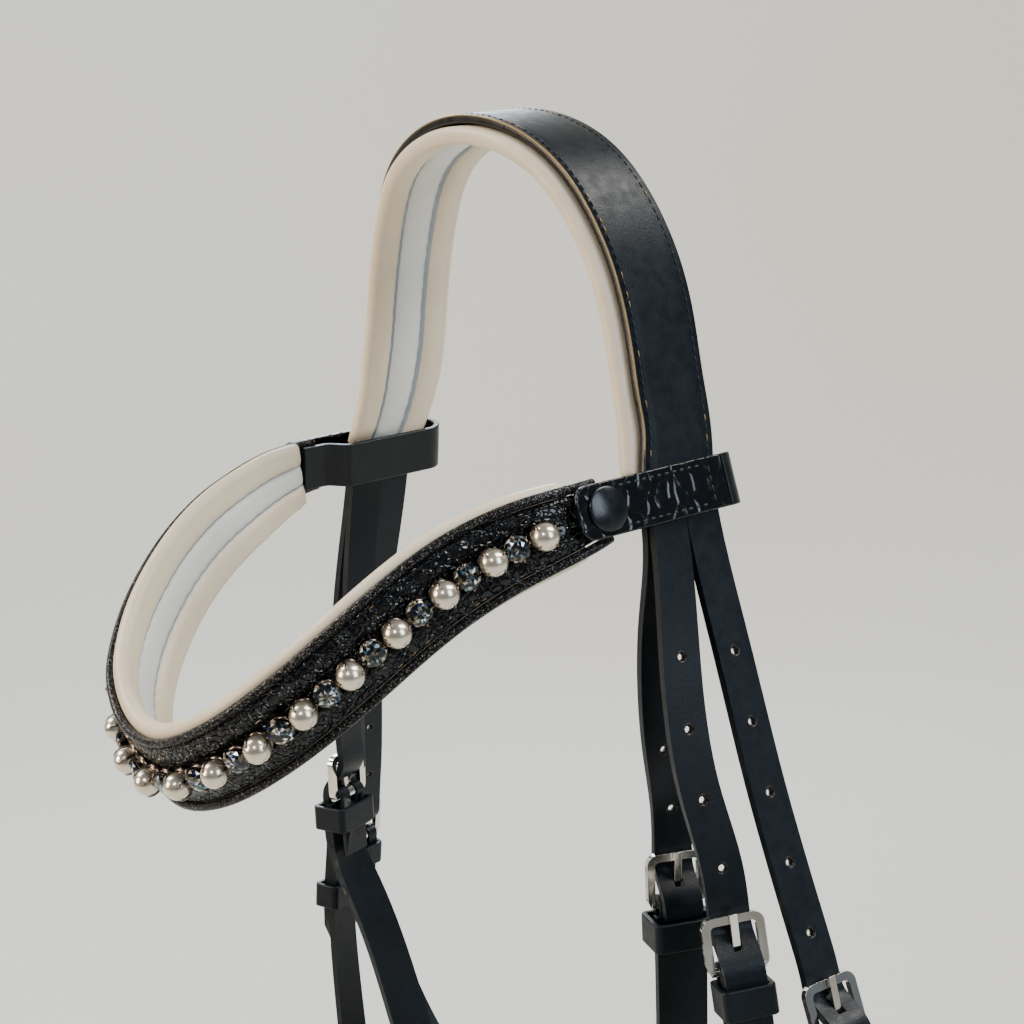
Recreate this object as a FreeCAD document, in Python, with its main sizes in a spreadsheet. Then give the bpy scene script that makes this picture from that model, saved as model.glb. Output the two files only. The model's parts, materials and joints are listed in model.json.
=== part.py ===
"""Snaffle bridle, in millimetres.

The bridle hangs by its crown. The origin is the underside of the crown, where the poll or a bridle
rack bears. The horse faces -Y, its left side is +X, and everything hangs towards -Z. Pieces that
come in pairs are made for the left side and mirrored in the plane x = 0.
"""

import math
import os

import FreeCAD
import Part
import Sketcher
from FreeCAD import Vector

os.makedirs("parts", exist_ok=True)
doc = FreeCAD.newDocument("snaffle_bridle")

# ---------------------------------------------------------------- driving dimensions
DIMENSIONS = {
    # headpiece
    "leatherThick": 3.0,
    "liningThick": 6.8,
    "headpieceWide": 27.0,
    "headpieceLiningWide": 35.0,
    "crownRadius": 86.5,
    "crownAngle": 24.0,
    "shoulderRadius": 57.9,
    "shoulderAngle": 30.0,
    "flankRadius": 108.9,
    "flankAngle": 22.4,
    "flankEnd": 56.5,
    "crownBack": 4.3,
    "flankBack": 6.6,
    # straps
    "strapWide": 13.0,
    "strapThick": 2.8,
    "foldThick": 1.7,
    "holeRadius": 1.9,
    "holePitch": 22.0,
    "nosebandStrapWide": 17.0,
    # browband
    "bandTall": 21.6,
    "bandEndTall": 12.4,
    "bandThick": 2.6,
    "bandLiningTall": 29.5,
    "bandLiningThick": 6.0,
    "pipingWide": 2.6,
    "stonePitch": 8.6,
    "stonesAside": 18,
    "pearlRadius": 4.3,
    "crystalRadius": 4.1,
    "settingRadius": 3.3,
    "settingTall": 1.0,
    # browband ends
    "tabWide": 16.6,
    "tabThick": 2.2,
    "foldBehind": 16.4,
    "tabForward": 41.5,
    "snapForward": 31.0,
    "capRadius": 6.9,
    "capTall": 2.2,
    "studRadius": 5.0,
    "postRadius": 1.9,
    # buckles
    "frameWide": 20.0,
    "frameLong": 15.5,
    "frameThick": 2.2,
    "frameBar": 2.6,
    "barRadius": 1.4,
    "tongueWide": 2.4,
    "tongueThick": 1.6,
    "keeperLong": 9.5,
    "keeperThick": 1.9,
    # noseband
    "noseThick": 4.0,
    "noseLiningThick": 7.0,
    # bit
    "ringRadius": 33.5,
    "ringWireRadius": 3.5,
    "ringApart": 140.0,
    "eyeRadius": 8.0,
    "eyeHoleRadius": 4.1,
    "linkRadius": 5.4,
    "linkWireRadius": 2.2,
}

sheet = doc.addObject("Spreadsheet::Sheet", "Dimensions")
for row, (alias, value) in enumerate(DIMENSIONS.items(), start=1):
    sheet.set(f"A{row}", alias)
    sheet.set(f"B{row}", str(value))
    sheet.setAlias(f"B{row}", alias)
doc.recompute()


def dim(alias):
    """The value of a driving dimension."""
    return float(sheet.get(alias))


CLEAR = 0.1           # gap between the layers of one body
SEAM = 0.4            # gap between layers that curve together
FREE = 0.3            # gap between pieces that move apart
TONGUE_SWING = 12.0   # degrees that a tongue can lift in the hole of a fastened billet

sub_parts = []        # the finished objects, one for each node
mirrored = Vector(1, 0, 0)


def keep(feature):
    """Lists an object as a node of its own."""
    sub_parts.append(feature)
    return feature


def pair(feature, name):
    """Keeps a left piece and makes its twin on the right."""
    feature.Label = name + "_left"
    keep(feature)
    return keep(mirror_of(feature, name + "_right"))


def mirror_of(feature, label):
    twin = doc.addObject("Part::Mirroring", label)
    twin.Source = feature
    twin.Normal = mirrored
    twin.Label = label
    return twin


def keep_left(feature, name):
    feature.Label = name + "_left"
    keep(feature)


def keep_right(feature, name):
    """Keeps only the mirrored twin of a piece."""
    feature.Label = name + "_source"
    keep(mirror_of(feature, name + "_right"))


# ---------------------------------------------------------------- places


class Frame:
    """A right-handed place on the bridle: x points outwards and z back up the strap."""

    def __init__(self, origin, out, up):
        self.origin = Vector(*origin)
        self.z = Vector(*up).normalize()
        out = Vector(*out)
        self.x = (out - self.z * out.dot(self.z)).normalize()
        self.y = self.z.cross(self.x)

    def at(self, x=0.0, y=0.0, z=0.0):
        return self.origin + self.x * x + self.y * y + self.z * z

    def placement(self):
        columns = (self.x, self.y, self.z, self.origin)
        rows = [[column[k] for column in columns] for k in range(3)]
        return FreeCAD.Placement(FreeCAD.Matrix(*rows[0], *rows[1], *rows[2], 0, 0, 0, 1))

    def moved(self, x=0.0, y=0.0, z=0.0):
        return Frame(self.at(x, y, z), self.x, self.z)


class Run:
    """The middle line of a strap in space, with the outward direction at each of its points."""

    def __init__(self, points, outs):
        vectors = [Vector(*point) for point in points]
        self.curve = Part.BSplineCurve()
        self.curve.interpolate(vectors)
        self.outs = [Vector(*out).normalize() for out in outs]
        self.knots = [self.curve.parameter(vector) for vector in vectors]
        self.lengths = [self.curve.length(self.knots[0], knot) if knot > self.knots[0] else 0.0
                        for knot in self.knots]
        self.length = self.lengths[-1]

    def station(self, along):
        """The frame at a length along the run."""
        along = min(max(along, 0.0), self.length)
        last = len(self.knots) - 2
        k = max(i for i in range(last + 1) if self.lengths[i] <= along + 1e-6)
        share = (along - self.lengths[k]) / (self.lengths[k + 1] - self.lengths[k])
        place = self.curve.parameterAtDistance(along, self.knots[0]) if along > 0 else self.knots[0]
        out = self.outs[k] * (1 - share) + self.outs[k + 1] * share
        return Frame(self.curve.value(place), out, self.curve.tangent(place)[0] * -1)

    def stops(self, start, end, spacing):
        """Lengths of the sections between start and end. Straps of one run share all but the ends."""
        stops = [start]
        for low, high in zip(self.lengths, self.lengths[1:]):
            parts = max(1, round((high - low) / spacing))
            between = [low + (high - low) * k / parts for k in range(parts)]
            stops += [along for along in between if start + 3 < along < end - 3]
        return stops + [end]

    def strap(self, wide, thick, start=0.0, end=None, shift=0.0, lift=0.0, spacing=14.0):
        """Solid strap along the run. wide and lift are numbers or functions of the length."""
        end = self.length if end is None else end
        wires = []
        for along in self.stops(start, end, spacing):
            frame = self.station(along)
            half = (wide(along) if callable(wide) else wide) / 2
            middle = lift(along) if callable(lift) else lift
            low, high = middle - half, middle + half
            inner, outer = shift - thick / 2, shift + thick / 2
            corners = [frame.at(x, y) for x, y in ((inner, low), (outer, low), (outer, high), (inner, high))]
            wires.append(Part.makePolygon(corners + corners[:1]))
        return Part.makeLoft(wires, True, False)


# ---------------------------------------------------------------- sketches and solids


def flat(a, b):
    return Vector(a, b, 0)


def new_body(label, frame=None):
    body = doc.addObject("PartDesign::Body", label)
    body.Label = label
    if frame is not None:
        body.Placement = frame.placement()
    return body


def new_sketch(body, role, name):
    sketch = body.newObject("Sketcher::SketchObject", name)
    plane = next(feature for feature in body.Origin.OriginFeatures if feature.Role == role)
    sketch.AttachmentSupport = [(plane, "")]
    sketch.MapMode = "FlatFace"
    return sketch


def add_pad(body, sketch, length, centred=True, back=False):
    """Pads a sketch by an expression of the sheet."""
    pad = body.newObject("PartDesign::Pad", sketch.Name + "_pad")
    pad.Profile = sketch
    pad.SideType = "Symmetric" if centred else "One side"
    pad.Reversed = back
    pad.setExpression("Length", length)
    return pad


def draw_circle(sketch, radius, centre=(0, 0), bound=None):
    """Circle whose radius follows an expression of the sheet when one is given."""
    index = sketch.addGeometry(Part.Circle(flat(*centre), Vector(0, 0, 1), radius), False)
    if bound:
        constraint = sketch.addConstraint(Sketcher.Constraint("Radius", index, radius))
        sketch.setExpression(f"Constraints[{constraint}]", bound)


def draw_box(sketch, left, right, low, high, corner=0.0):
    """Rectangle with round corners."""
    c = corner
    sides = [((left + c, low), (right - c, low)), ((right, low + c), (right, high - c)),
             ((right - c, high), (left + c, high)), ((left, high - c), (left, low + c))]
    for start, end in sides:
        sketch.addGeometry(Part.LineSegment(flat(*start), flat(*end)), False)
    if not c:
        return
    centres = [(right - c, low + c), (right - c, high - c), (left + c, high - c), (left + c, low + c)]
    for k, centre in enumerate(centres):
        first = math.pi * (k - 1) / 2
        circle = Part.Circle(flat(*centre), Vector(0, 0, 1), c)
        sketch.addGeometry(Part.ArcOfCircle(circle, first, first + math.pi / 2), False)


def draw_ribbon(sketch, start, heading, runs, thick):
    """Outline of a strap seen on its edge.

    The middle line starts at a point with a heading in degrees. Each run is a length and the angle
    that it turns by, and a turn of 0 is straight. The outline lies half the thickness either side.
    """
    def normal(angle):
        return flat(-math.sin(angle), math.cos(angle))

    def edges(offset):
        place, angle, side = flat(*start), math.radians(heading), []
        for length, turn in runs:
            first = place + normal(angle) * offset
            if turn:
                turned = math.radians(turn)
                radius = length / turned
                centre = place + normal(angle) * radius
                halfway = centre - normal(angle + turned / 2) * (radius - offset)
                angle += turned
                place = centre - normal(angle) * radius
                side.append(Part.Arc(first, halfway, place + normal(angle) * offset))
            else:
                place = place + flat(math.cos(angle), math.sin(angle)) * length
                side.append(Part.LineSegment(first, place + normal(angle) * offset))
        return side

    near, far = edges(-thick / 2), edges(thick / 2)
    caps = [Part.LineSegment(near[0].StartPoint, far[0].StartPoint),
            Part.LineSegment(near[-1].EndPoint, far[-1].EndPoint)]
    for edge in near + far + caps:
        sketch.addGeometry(edge, False)


def add_shape(label, shape):
    feature = doc.addObject("Part::Feature", label)
    feature.Label = label
    feature.Shape = shape
    return feature


def both(label, shape):
    """Keeps a small left piece and its twin as one node."""
    twins = Part.makeCompound([shape, shape.mirror(Vector(), mirrored)])
    return keep(add_shape(label, twins))


def bore(place, direction, radius, length):
    """Cylinder centred on a place."""
    start = place - direction * (length / 2)
    return Part.makeCylinder(radius, length, start, direction)


def local_box(frame, x_range, y_range, z_range):
    """Block between three ranges of a frame's own axes."""
    (x0, x1), (y0, y1), (z0, z1) = x_range, y_range, z_range
    block = Part.makeBox(x1 - x0, y1 - y0, z1 - z0, Vector(x0, y0, z0))
    block.Placement = frame.placement()
    return block


# ---------------------------------------------------------------- headpiece
leather = dim("leatherThick")
lining = dim("liningThick")
arcs = [(dim(name + "Radius") - leather / 2, math.radians(dim(name + "Angle")))
        for name in ("crown", "shoulder", "flank")]
fall = sum(angle for _, angle in arcs)     # how far below the horizontal the straps leave the headpiece


def arch():
    """Half of the arch, from the crown down: distance aside, drop and turn at each point."""
    route = [(0.0, 0.0, 0.0)]
    for radius, angle in arcs:
        x, drop, turned = route[-1]
        for k in (1, 2, 3):
            turn = turned + angle * k / 3
            route.append((x + radius * (math.sin(turn) - math.sin(turned)),
                          drop + radius * (math.cos(turned) - math.cos(turn)), turn))
    return route


arch_top = leather / 2 + lining
along_split = Vector(math.cos(fall), 0, -math.sin(fall))
out_split = Vector(math.sin(fall), 0, math.cos(fall))
arch_foot = Vector(arch()[-1][0], 0, arch_top - arch()[-1][1])
split = arch_foot + along_split * dim("flankEnd")


def head_half():
    """Left half of the headpiece's middle line, from the split up to the crown.

    Above the split it leans back, and it bows further back on its way.
    """
    route = [(x, arch_top - drop, turn) for x, drop, turn in arch()]
    for down in (dim("flankEnd") * 0.5, dim("flankEnd") - 8.0, dim("flankEnd") - 3.0, dim("flankEnd")):
        foot = arch_foot + along_split * down
        route.append((foot.x, foot.z, fall))
    points, outs = [], []
    for x, z, turn in reversed(route):
        height = (z - split.z) / (arch_top - split.z)
        back = dim("crownBack") * height + dim("flankBack") * 4 * height * (1 - height)
        back *= min(1.0, (z - split.z) / 7.0)
        points.append((x, back, z))
        outs.append((math.sin(turn), 0, math.cos(turn)))
    return points, outs


def both_sides(points, outs):
    """Left half of a route that ends on the middle plane, carried on to the right side."""
    flip = [(-x, y, z) for x, y, z in points[-2::-1]]
    turn = [(-x, y, z) for x, y, z in outs[-2::-1]]
    return Run(points + flip, outs + turn)


def make_headpiece():
    """Leather over a padded lining that is narrower at the back where it enters the loops."""
    run = both_sides(*head_half())
    keep(add_shape("headpiece_leather", run.strap(dim("headpieceWide"), leather, spacing=20.0)))
    full, taper, narrow = dim("headpieceLiningWide"), 26.0, 6.0

    def missing(along):
        return narrow * max(0.0, 1 - min(along, run.length - along) / taper)

    gap = 2 * SEAM
    shape = run.strap(lambda along: full - missing(along), lining - gap, 3.0, run.length - 3.0,
                      -(leather + lining + gap) / 2, lambda along: missing(along) / 2, spacing=20.0)
    keep(add_shape("headpiece_lining", shape))


make_headpiece()

# ---------------------------------------------------------------- buckles and the straps they join
strap_wide, strap_thick = dim("strapWide"), dim("strapThick")
fold_thick = dim("foldThick")
bar = dim("barRadius")
frame_long, frame_thick, frame_bar = dim("frameLong"), dim("frameThick"), dim("frameBar")
fold_inner = bar + CLEAR
lower_strap = fold_inner + strap_thick / 2                 # middle of the strap that holds the buckle
upper_strap = lower_strap + strap_thick + CLEAR            # middle of the billet that lies on it
behind_top = -(frame_thick / 2 + CLEAR + strap_thick / 2)  # middle of the billet above the buckle
fold_start = -3.0                                          # where the thinned fold joins the strap


def make_frame(label, place):
    """Buckle frame: a flat bow with a round bar across its lower end."""
    body = new_body(label, place)
    half, inner = dim("frameWide") / 2, dim("frameWide") / 2 - frame_bar
    low, top = -bar, frame_long + frame_bar / 2
    outline = new_sketch(body, "YZ_Plane", label + "_bow")
    draw_box(outline, -half, half, low, top, 3.6)
    draw_box(outline, -inner, inner, low + 2 * bar, top - frame_bar, 1.6)
    add_pad(body, outline, "Dimensions.frameThick")
    gap = new_sketch(body, "YZ_Plane", label + "_gap")
    draw_box(gap, -inner, inner, low - 1, low + 2 * bar + 1)
    cut = body.newObject("PartDesign::Pocket", label + "_cut")
    cut.Profile = gap
    cut.SideType = "Symmetric"
    cut.setExpression("Length", "Dimensions.frameThick * 2")
    rod = new_sketch(body, "XZ_Plane", label + "_rod")
    draw_circle(rod, bar)
    add_pad(body, rod, "Dimensions.frameWide - Dimensions.frameBar")
    return body


def make_tongue(label, place):
    """Tongue: an eye round the bar and an arm that rests on top of the bow."""
    eye_outer, eye_inner = bar + 1.3, bar + 0.05
    thick = dim("tongueThick")
    rest = frame_thick / 2 + CLEAR + thick / 2
    lean = math.atan2(rest - 0.4, frame_long - frame_bar / 2)
    body = new_body(label, place)
    arm = new_sketch(body, "XZ_Plane", label + "_arm")
    reach = frame_long + frame_bar / 2 + 0.8
    draw_ribbon(arm, (0.4 + 1.9 * math.tan(lean), 1.9), 90 - math.degrees(lean),
                [((reach - 1.9) / math.cos(lean), 0)], thick)
    add_pad(body, arm, "Dimensions.tongueWide")
    eye = new_sketch(body, "XZ_Plane", label + "_eye")
    draw_circle(eye, eye_outer)
    add_pad(body, eye, "Dimensions.tongueWide * 1.5")
    hole = new_sketch(body, "XZ_Plane", label + "_hole")
    draw_circle(hole, eye_inner)
    cut = body.newObject("PartDesign::Pocket", label + "_bore")
    cut.Profile = hole
    cut.SideType = "Symmetric"
    cut.setExpression("Length", "Dimensions.tongueWide * 3")
    return body


def tongue_sweep(place):
    """The space that the arm of a tongue passes through, with room round it."""
    wide, thick = dim("tongueWide") / 2 + FREE, dim("tongueThick") / 2 + FREE
    rest = frame_thick / 2 + CLEAR + dim("tongueThick") / 2
    lean = math.degrees(math.atan2(rest - 0.4, frame_long - frame_bar / 2))
    blocks = []
    for k in range(5):
        swung = TONGUE_SWING * k / 4 + lean
        turn = FreeCAD.Rotation(place.y, swung)
        arm = Frame(place.origin, turn.multVec(place.x), turn.multVec(place.z))
        blocks.append(local_box(arm, (-thick + 0.4, thick + 0.4), (-wide, wide), (1.0, frame_long + 4)))
    return blocks[0].multiFuse(blocks[1:])


def make_fold(place, wide, tail=24.0):
    """Thinned end of a strap, folded over the bar and back down on the inside."""
    radius = fold_inner + fold_thick / 2
    holder = new_body("fold_holder", place)
    sketch = new_sketch(holder, "XZ_Plane", "fold_holder_profile")
    draw_ribbon(sketch, (radius, fold_start), 90,
                [(-fold_start, 0), (math.pi * radius, 180), (tail, 0)], fold_thick)
    pad = holder.newObject("PartDesign::Pad", "fold_holder_pad")
    pad.Profile = sketch
    pad.SideType = "Symmetric"
    pad.Length = wide
    doc.recompute()
    shape = holder.Shape.copy()
    holder.removeObjectsFromDocument()
    doc.removeObject(holder.Name)
    slot = dim("tongueWide") * 0.75 + 0.4
    return shape.cut(local_box(place, (-8, 8), (-slot, slot), (fold_start - 0.6, 8)))


def billet_run(start, place, way):
    """A billet goes behind the bow of its buckle and over the bar, to lie on the strap below."""
    above = place.at(behind_top, 0, frame_long + 14)
    way = [start + along_split * 10.5 + Vector(0, -0.8, 0)] + way
    points = [start] + way + [above] + cross_buckle(place, upper_strap)
    turns = [0.0, 0.0] + [k / len(way) for k in range(1, len(way))]
    outs = [out_split * (1 - turn) + place.x * turn for turn in turns] + [place.x] * 6
    return Run(points, outs)


def cross_buckle(place, ride):
    """Points from behind the bow to the outside of the bar, where the billet rides on its strap."""
    rises = ((behind_top, frame_long + 2), (behind_top - CLEAR, frame_long - 2.6),
             ((behind_top + ride) / 2, frame_long * 0.42), (ride - 0.3, 1.0), (ride, fold_start))
    return [place.at(x, 0, z) for x, z in rises]


def billet_strap(run, place, below, tail, wide, above, spare, ride):
    """Billet along its run and then down the strap below, with a row of round holes and a point."""
    strap = run.strap(wide, strap_thick, spacing=10.0)
    lie = below.strap(wide, strap_thick, 0.0, tail - 7.0, ride, spacing=10.0)
    point = below.strap(lambda along: wide + (tail - 7.0 - along), strap_thick, tail - 7.0, tail, ride)
    strap = strap.fuse([lie, point]).removeSplitter()
    used = run.length - 14.6
    holes = [run.station(used - k * dim("holePitch")) for k in range(1, above + 1)]
    holes += [below.station(k * dim("holePitch") - 5.0).moved(x=ride) for k in range(1, spare + 1)]
    for hole in holes:
        strap = strap.cut(bore(hole.origin, hole.x, dim("holeRadius"), strap_thick * 4))
    return strap.cut(tongue_sweep(place))


def make_keeper(label, place, inner, outer, wide):
    """Leather loop round the straps: a flat band with a rectangular way through."""
    thick = dim("keeperThick")
    body = new_body(label, place)
    sketch = new_sketch(body, "XY_Plane", label + "_loop")
    half = wide / 2 + FREE
    draw_box(sketch, inner, outer, -half, half, 0.5)
    draw_box(sketch, inner - thick, outer + thick, -half - thick, half + thick, 2.2)
    add_pad(body, sketch, "Dimensions.keeperLong")
    return body


def towards_nose(angle, lean=0.15):
    """Outward direction that is turned by an angle towards the nose."""
    turned = math.radians(angle)
    return (math.cos(turned), -math.sin(turned), lean)


billet_apart = (dim("strapWide") + FREE) / 2
billet_start = 1.6                                         # inside the browband's loop
keeper_middle = -3.8 - dim("keeperLong") / 2

# ---------------------------------------------------------------- bit
ring_x, ring_y, ring_z = dim("ringApart") / 2, -38.0, -489.0
ring_radius, wire = dim("ringRadius"), dim("ringWireRadius")
ring_top = Vector(ring_x, ring_y, ring_z + ring_radius)
bit_fold = Frame(ring_top, (1, 0, 0.45), (0.42, 0.06, 1))
bit_fold_inner = wire + 1.1
bit_fold_thick = 2.2
bit_fold_middle = bit_fold_inner + bit_fold_thick / 2

# ---------------------------------------------------------------- cheek straps
cheek_place = Frame((116.6, -16.2, -253.4), towards_nose(24), (-0.13, 0.03, 1.0))
cheek_run = Run(
    [cheek_place.at(0, 0, fold_start), cheek_place.at(0, 0, -9), cheek_place.at(0, 0, -16),
     (121.0, -20.0, -294), (118.5, -25, -340),
     (107.0, -31, -388), (bit_fold.at(bit_fold_middle - lower_strap, 0, 24)),
     bit_fold.at(bit_fold_middle - lower_strap, 0, 8)],
    [cheek_place.x] * 3 + [towards_nose(22, 0), towards_nose(16, -0.1), towards_nose(8, -0.3),
                           bit_fold.x, bit_fold.x],
)
RUNNER_TRAVEL = 8.0                                # how far the runner slides either way
runner_place = cheek_run.station(40.0)


def make_bit_fold():
    """Lower end of the cheekpiece: round the ring, and back up on the inside."""
    holder = new_body("bit_fold_holder", bit_fold)
    sketch = new_sketch(holder, "XZ_Plane", "bit_fold_holder_profile")
    side = bit_fold_middle * 2 - (strap_thick + bit_fold_thick) / 2 - CLEAR
    bend, slant = 5.0, 34.0
    reach = side - 2 * (bend / math.radians(slant)) * (1 - math.cos(math.radians(slant)))
    draw_ribbon(sketch, (bit_fold_middle, 8), -90,
                [(8, 0), (math.pi * bit_fold_middle, -180), (2, 0), (bend, -slant),
                 (reach / math.sin(math.radians(slant)), 0), (bend, slant), (16, 0)], bit_fold_thick)
    pad = holder.newObject("PartDesign::Pad", "bit_fold_holder_pad")
    pad.Profile = sketch
    pad.SideType = "Symmetric"
    pad.Length = strap_wide - 2
    doc.recompute()
    shape = holder.Shape.copy()
    holder.removeObjectsFromDocument()
    doc.removeObject(holder.Name)
    return shape


def make_cheek_side():
    """Left cheek billet and cheekpiece with their buckle, keepers, runner and hook stud."""
    start = split + Vector(0, -billet_apart, 0) + along_split * billet_start
    way = [Vector(97.7, -13.1, -156.7), Vector(105.6, -16.3, -200.4)]
    billet = billet_strap(billet_run(start, cheek_place, way), cheek_place, cheek_run, 60.0, strap_wide, 4, 2,
                          upper_strap)
    pair(add_shape("cheek_billet", billet), "cheek_billet")
    strap = cheek_run.strap(strap_wide, strap_thick, shift=lower_strap)
    strap = strap.fuse([make_fold(cheek_place, strap_wide), make_bit_fold()]).removeSplitter()
    pair(add_shape("cheekpiece", strap), "cheekpiece")
    pair(make_frame("cheek_buckle", cheek_place), "cheek_buckle")
    pair(make_tongue("cheek_tongue", cheek_place), "cheek_tongue")
    inner = -(fold_inner + fold_thick) - FREE
    outer = upper_strap + strap_thick / 2 + FREE
    pair(make_keeper("cheek_keeper", cheek_place.moved(z=keeper_middle), inner, outer, strap_wide),
         "cheek_keeper")
    inner = lower_strap - strap_thick / 2 - 0.9
    outer = upper_strap + strap_thick / 2 + 0.9
    pair(make_keeper("cheek_runner", runner_place, inner, outer, strap_wide + 1.8), "cheek_runner")
    both("hook_studs", make_hook_stud())


def make_hook_stud():
    """Stud on the inside of the cheekpiece's end: a foot, a neck and a round head."""
    face = bit_fold_middle - strap_thick / 2 - CLEAR - bit_fold_thick - CLEAR
    place = bit_fold.at(face, 0, 27)
    inwards = bit_fold.x * -1
    foot = Part.makeCylinder(3.2, 0.8, place, inwards)
    neck = Part.makeCylinder(1.3, 3.0, place, inwards)
    head = Part.makeSphere(2.1, place + inwards * 4.2, inwards, -60, 90, 360)
    return foot.fuse([neck, head])


make_cheek_side()

# ---------------------------------------------------------------- throatlash
throat_place = Frame((141.2, 0.8, -272.6), towards_nose(3, 0.3), (-0.29, 0.01, 0.96))
# The right strap hangs differently, and its place is given as that of a left piece.
right_throat_place = Frame((136.0, -3.0, -280.0), towards_nose(10, 0.2), (-0.24, 0.03, 0.97))
throat_low = [(70.0, 33, -438), (0.0, 38, -450)]
throat_low_outs = [(0.35, 0.15, -1), (0, 0.15, -1)]


def throat_half(place, way, outs):
    """Points and directions from a throat buckle down to the lowest point of the throatlash."""
    top = [tuple(place.at(0, 0, z)) for z in (fold_start, -9, -16)]
    return top + way + throat_low, [tuple(place.x)] * 3 + outs + throat_low_outs


left_half = throat_half(throat_place, [(147.0, 4, -318), (139.0, 12, -362), (112.0, 24, -408)],
                        [(1, 0.1, -0.05), (1, 0.15, -0.4), (0.8, 0.15, -0.8)])
right_half = throat_half(right_throat_place, [(142.0, 4, -325), (136.0, 14, -366), (110.0, 25, -410)],
                         [(1, 0.0, -0.05), (1, 0.12, -0.4), (0.8, 0.15, -0.8)])
throat_run = Run(
    left_half[0] + [(-x, y, z) for x, y, z in right_half[0][-2::-1]],
    left_half[1] + [(-x, y, z) for x, y, z in right_half[1][-2::-1]],
)
right_throat_run = Run(*right_half)


def throat_pieces(place, run, way, finish):
    """Throat billet, buckle, tongue and keeper of one side, each finished by a function."""
    start = split + Vector(0, billet_apart, 0) + along_split * billet_start
    billet = billet_strap(billet_run(start, place, way), place, run, 46.0, strap_wide, 5, 1, upper_strap)
    inner = -(fold_inner + fold_thick) - FREE
    outer = upper_strap + strap_thick / 2 + FREE
    finish(add_shape("throat_billet", billet), "throat_billet")
    finish(make_frame("throat_buckle", place), "throat_buckle")
    finish(make_tongue("throat_tongue", place), "throat_tongue")
    keeper = make_keeper("throat_keeper", place.moved(z=keeper_middle), inner, outer, strap_wide)
    finish(keeper, "throat_keeper")


def make_throatlash():
    """One strap under the throat, folded round a buckle at each end."""
    fold = make_fold(throat_place, strap_wide)
    other = make_fold(right_throat_place, strap_wide).mirror(Vector(), mirrored)
    strap = throat_run.strap(strap_wide, strap_thick, shift=lower_strap, spacing=20.0)
    keep(add_shape("throatlash", strap.fuse([fold, other]).removeSplitter()))


throat_pieces(throat_place, throat_run,
              [Vector(102.3, 3.4, -156.8), Vector(116.0, 0.8, -198.5)], keep_left)
throat_pieces(right_throat_place, right_throat_run,
              [Vector(101.8, 2.8, -157.0), Vector(115.5, -1.0, -203.0)], keep_right)
make_throatlash()

# ---------------------------------------------------------------- noseband
noseband_place = Frame((80.4, -9.2, -244.5), towards_nose(18, 0.0), (0.02, 0.06, 1.0))
noseband_wide = dim("nosebandStrapWide")
nose_thick, nose_lining = dim("noseThick"), dim("noseLiningThick")
# The right strap hangs differently, and its place is given as that of a left piece.
right_noseband_place = Frame((98.0, -27.0, -244.5), towards_nose(22, 0.0), (-0.02, 0.06, 1.0))


def noseband_fall(place, way):
    """Run of the strap between a noseband buckle and the nosepiece."""
    top = [place.at(0, 0, z) for z in (fold_start, -9, -16)]
    return Run(top + way + [(75.6, -13, -398)],
               [place.x] * 3 + [(1, -0.25, 0), (1, -0.1, 0), (1, 0, 0)])


noseband_run = noseband_fall(noseband_place, [(79.0, -14.0, -310), (76.5, -13.5, -360)])
right_noseband_run = noseband_fall(right_noseband_place, [(94.0, -23.6, -290), (84.0, -17.0, -345)])
nose_side = 75.0 + lower_strap - strap_thick / 2 - CLEAR - nose_thick / 2
nose_run = both_sides(
    [(nose_side - 3.0, 22, -380), (nose_side - 0.5, 6, -382), (nose_side, -14, -386), (69.0, -48, -392),
     (51.0, -84, -398), (0.0, -106, -403)],
    [(1, 0.15, 0), (1, 0.08, 0), (1, -0.05, 0), (1, -0.35, 0), (0.75, -0.8, 0), (0, -1, 0)],
)
nose_end = nose_run.station(0.0)
jaw_place = Frame(nose_end.at(-fold_inner - nose_thick / 2, 0, -fold_start), nose_end.x, nose_end.z)


def nose_height(along):
    """The nosepiece is tallest over the nose and tapers to the jaw strap."""
    share = abs(1 - 2 * along / nose_run.length)
    return 19.0 + 11.0 * (1 - share ** 2)


def noseband_pieces(place, run, way, finish):
    """Noseband billet, strap, buckle, tongue and keeper of one side, each finished by a function."""
    start = split - out_split * ((strap_thick + leather) / 2 + FREE) + along_split * billet_start
    start += Vector(0, -billet_apart - 0.5, 0)
    billet = billet_strap(billet_run(start, place, way), place, run, 46.0, strap_wide, 2, 1, upper_strap)
    strap = run.strap(noseband_wide, strap_thick, shift=lower_strap, spacing=16.0)
    inner = -(fold_inner + fold_thick) - FREE
    outer = upper_strap + strap_thick / 2 + FREE
    finish(add_shape("noseband_billet", billet), "noseband_billet")
    finish(add_shape("noseband_strap", strap.fuse(make_fold(place, strap_wide)).removeSplitter()),
           "noseband_strap")
    finish(make_frame("noseband_buckle", place), "noseband_buckle")
    finish(make_tongue("noseband_tongue", place), "noseband_tongue")
    keeper = make_keeper("noseband_keeper", place.moved(z=keeper_middle), inner, outer, noseband_wide)
    finish(keeper, "noseband_keeper")


def make_nosepiece():
    strap = nose_run.strap(nose_height, nose_thick, spacing=20.0)
    keep(add_shape("nosepiece", strap.fuse(make_fold(jaw_place, strap_wide)).removeSplitter()))
    inside = -(nose_thick + nose_lining) / 2 - CLEAR
    bare, taller = 34.0, 5.0
    keep(add_shape("nosepiece_lining", nose_run.strap(
        lambda along: nose_height(along) + taller, nose_lining, bare, nose_run.length - bare, inside,
        spacing=20.0)))


noseband_pieces(noseband_place, noseband_run,
                [Vector(84.6, -9.6, -150.0), Vector(81.4, -9.9, -195.0)], keep_left)
noseband_pieces(right_noseband_place, right_noseband_run,
                [Vector(90.0, -14.5, -157.0), Vector(93.6, -21.0, -200.0)], keep_right)
make_nosepiece()

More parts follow.
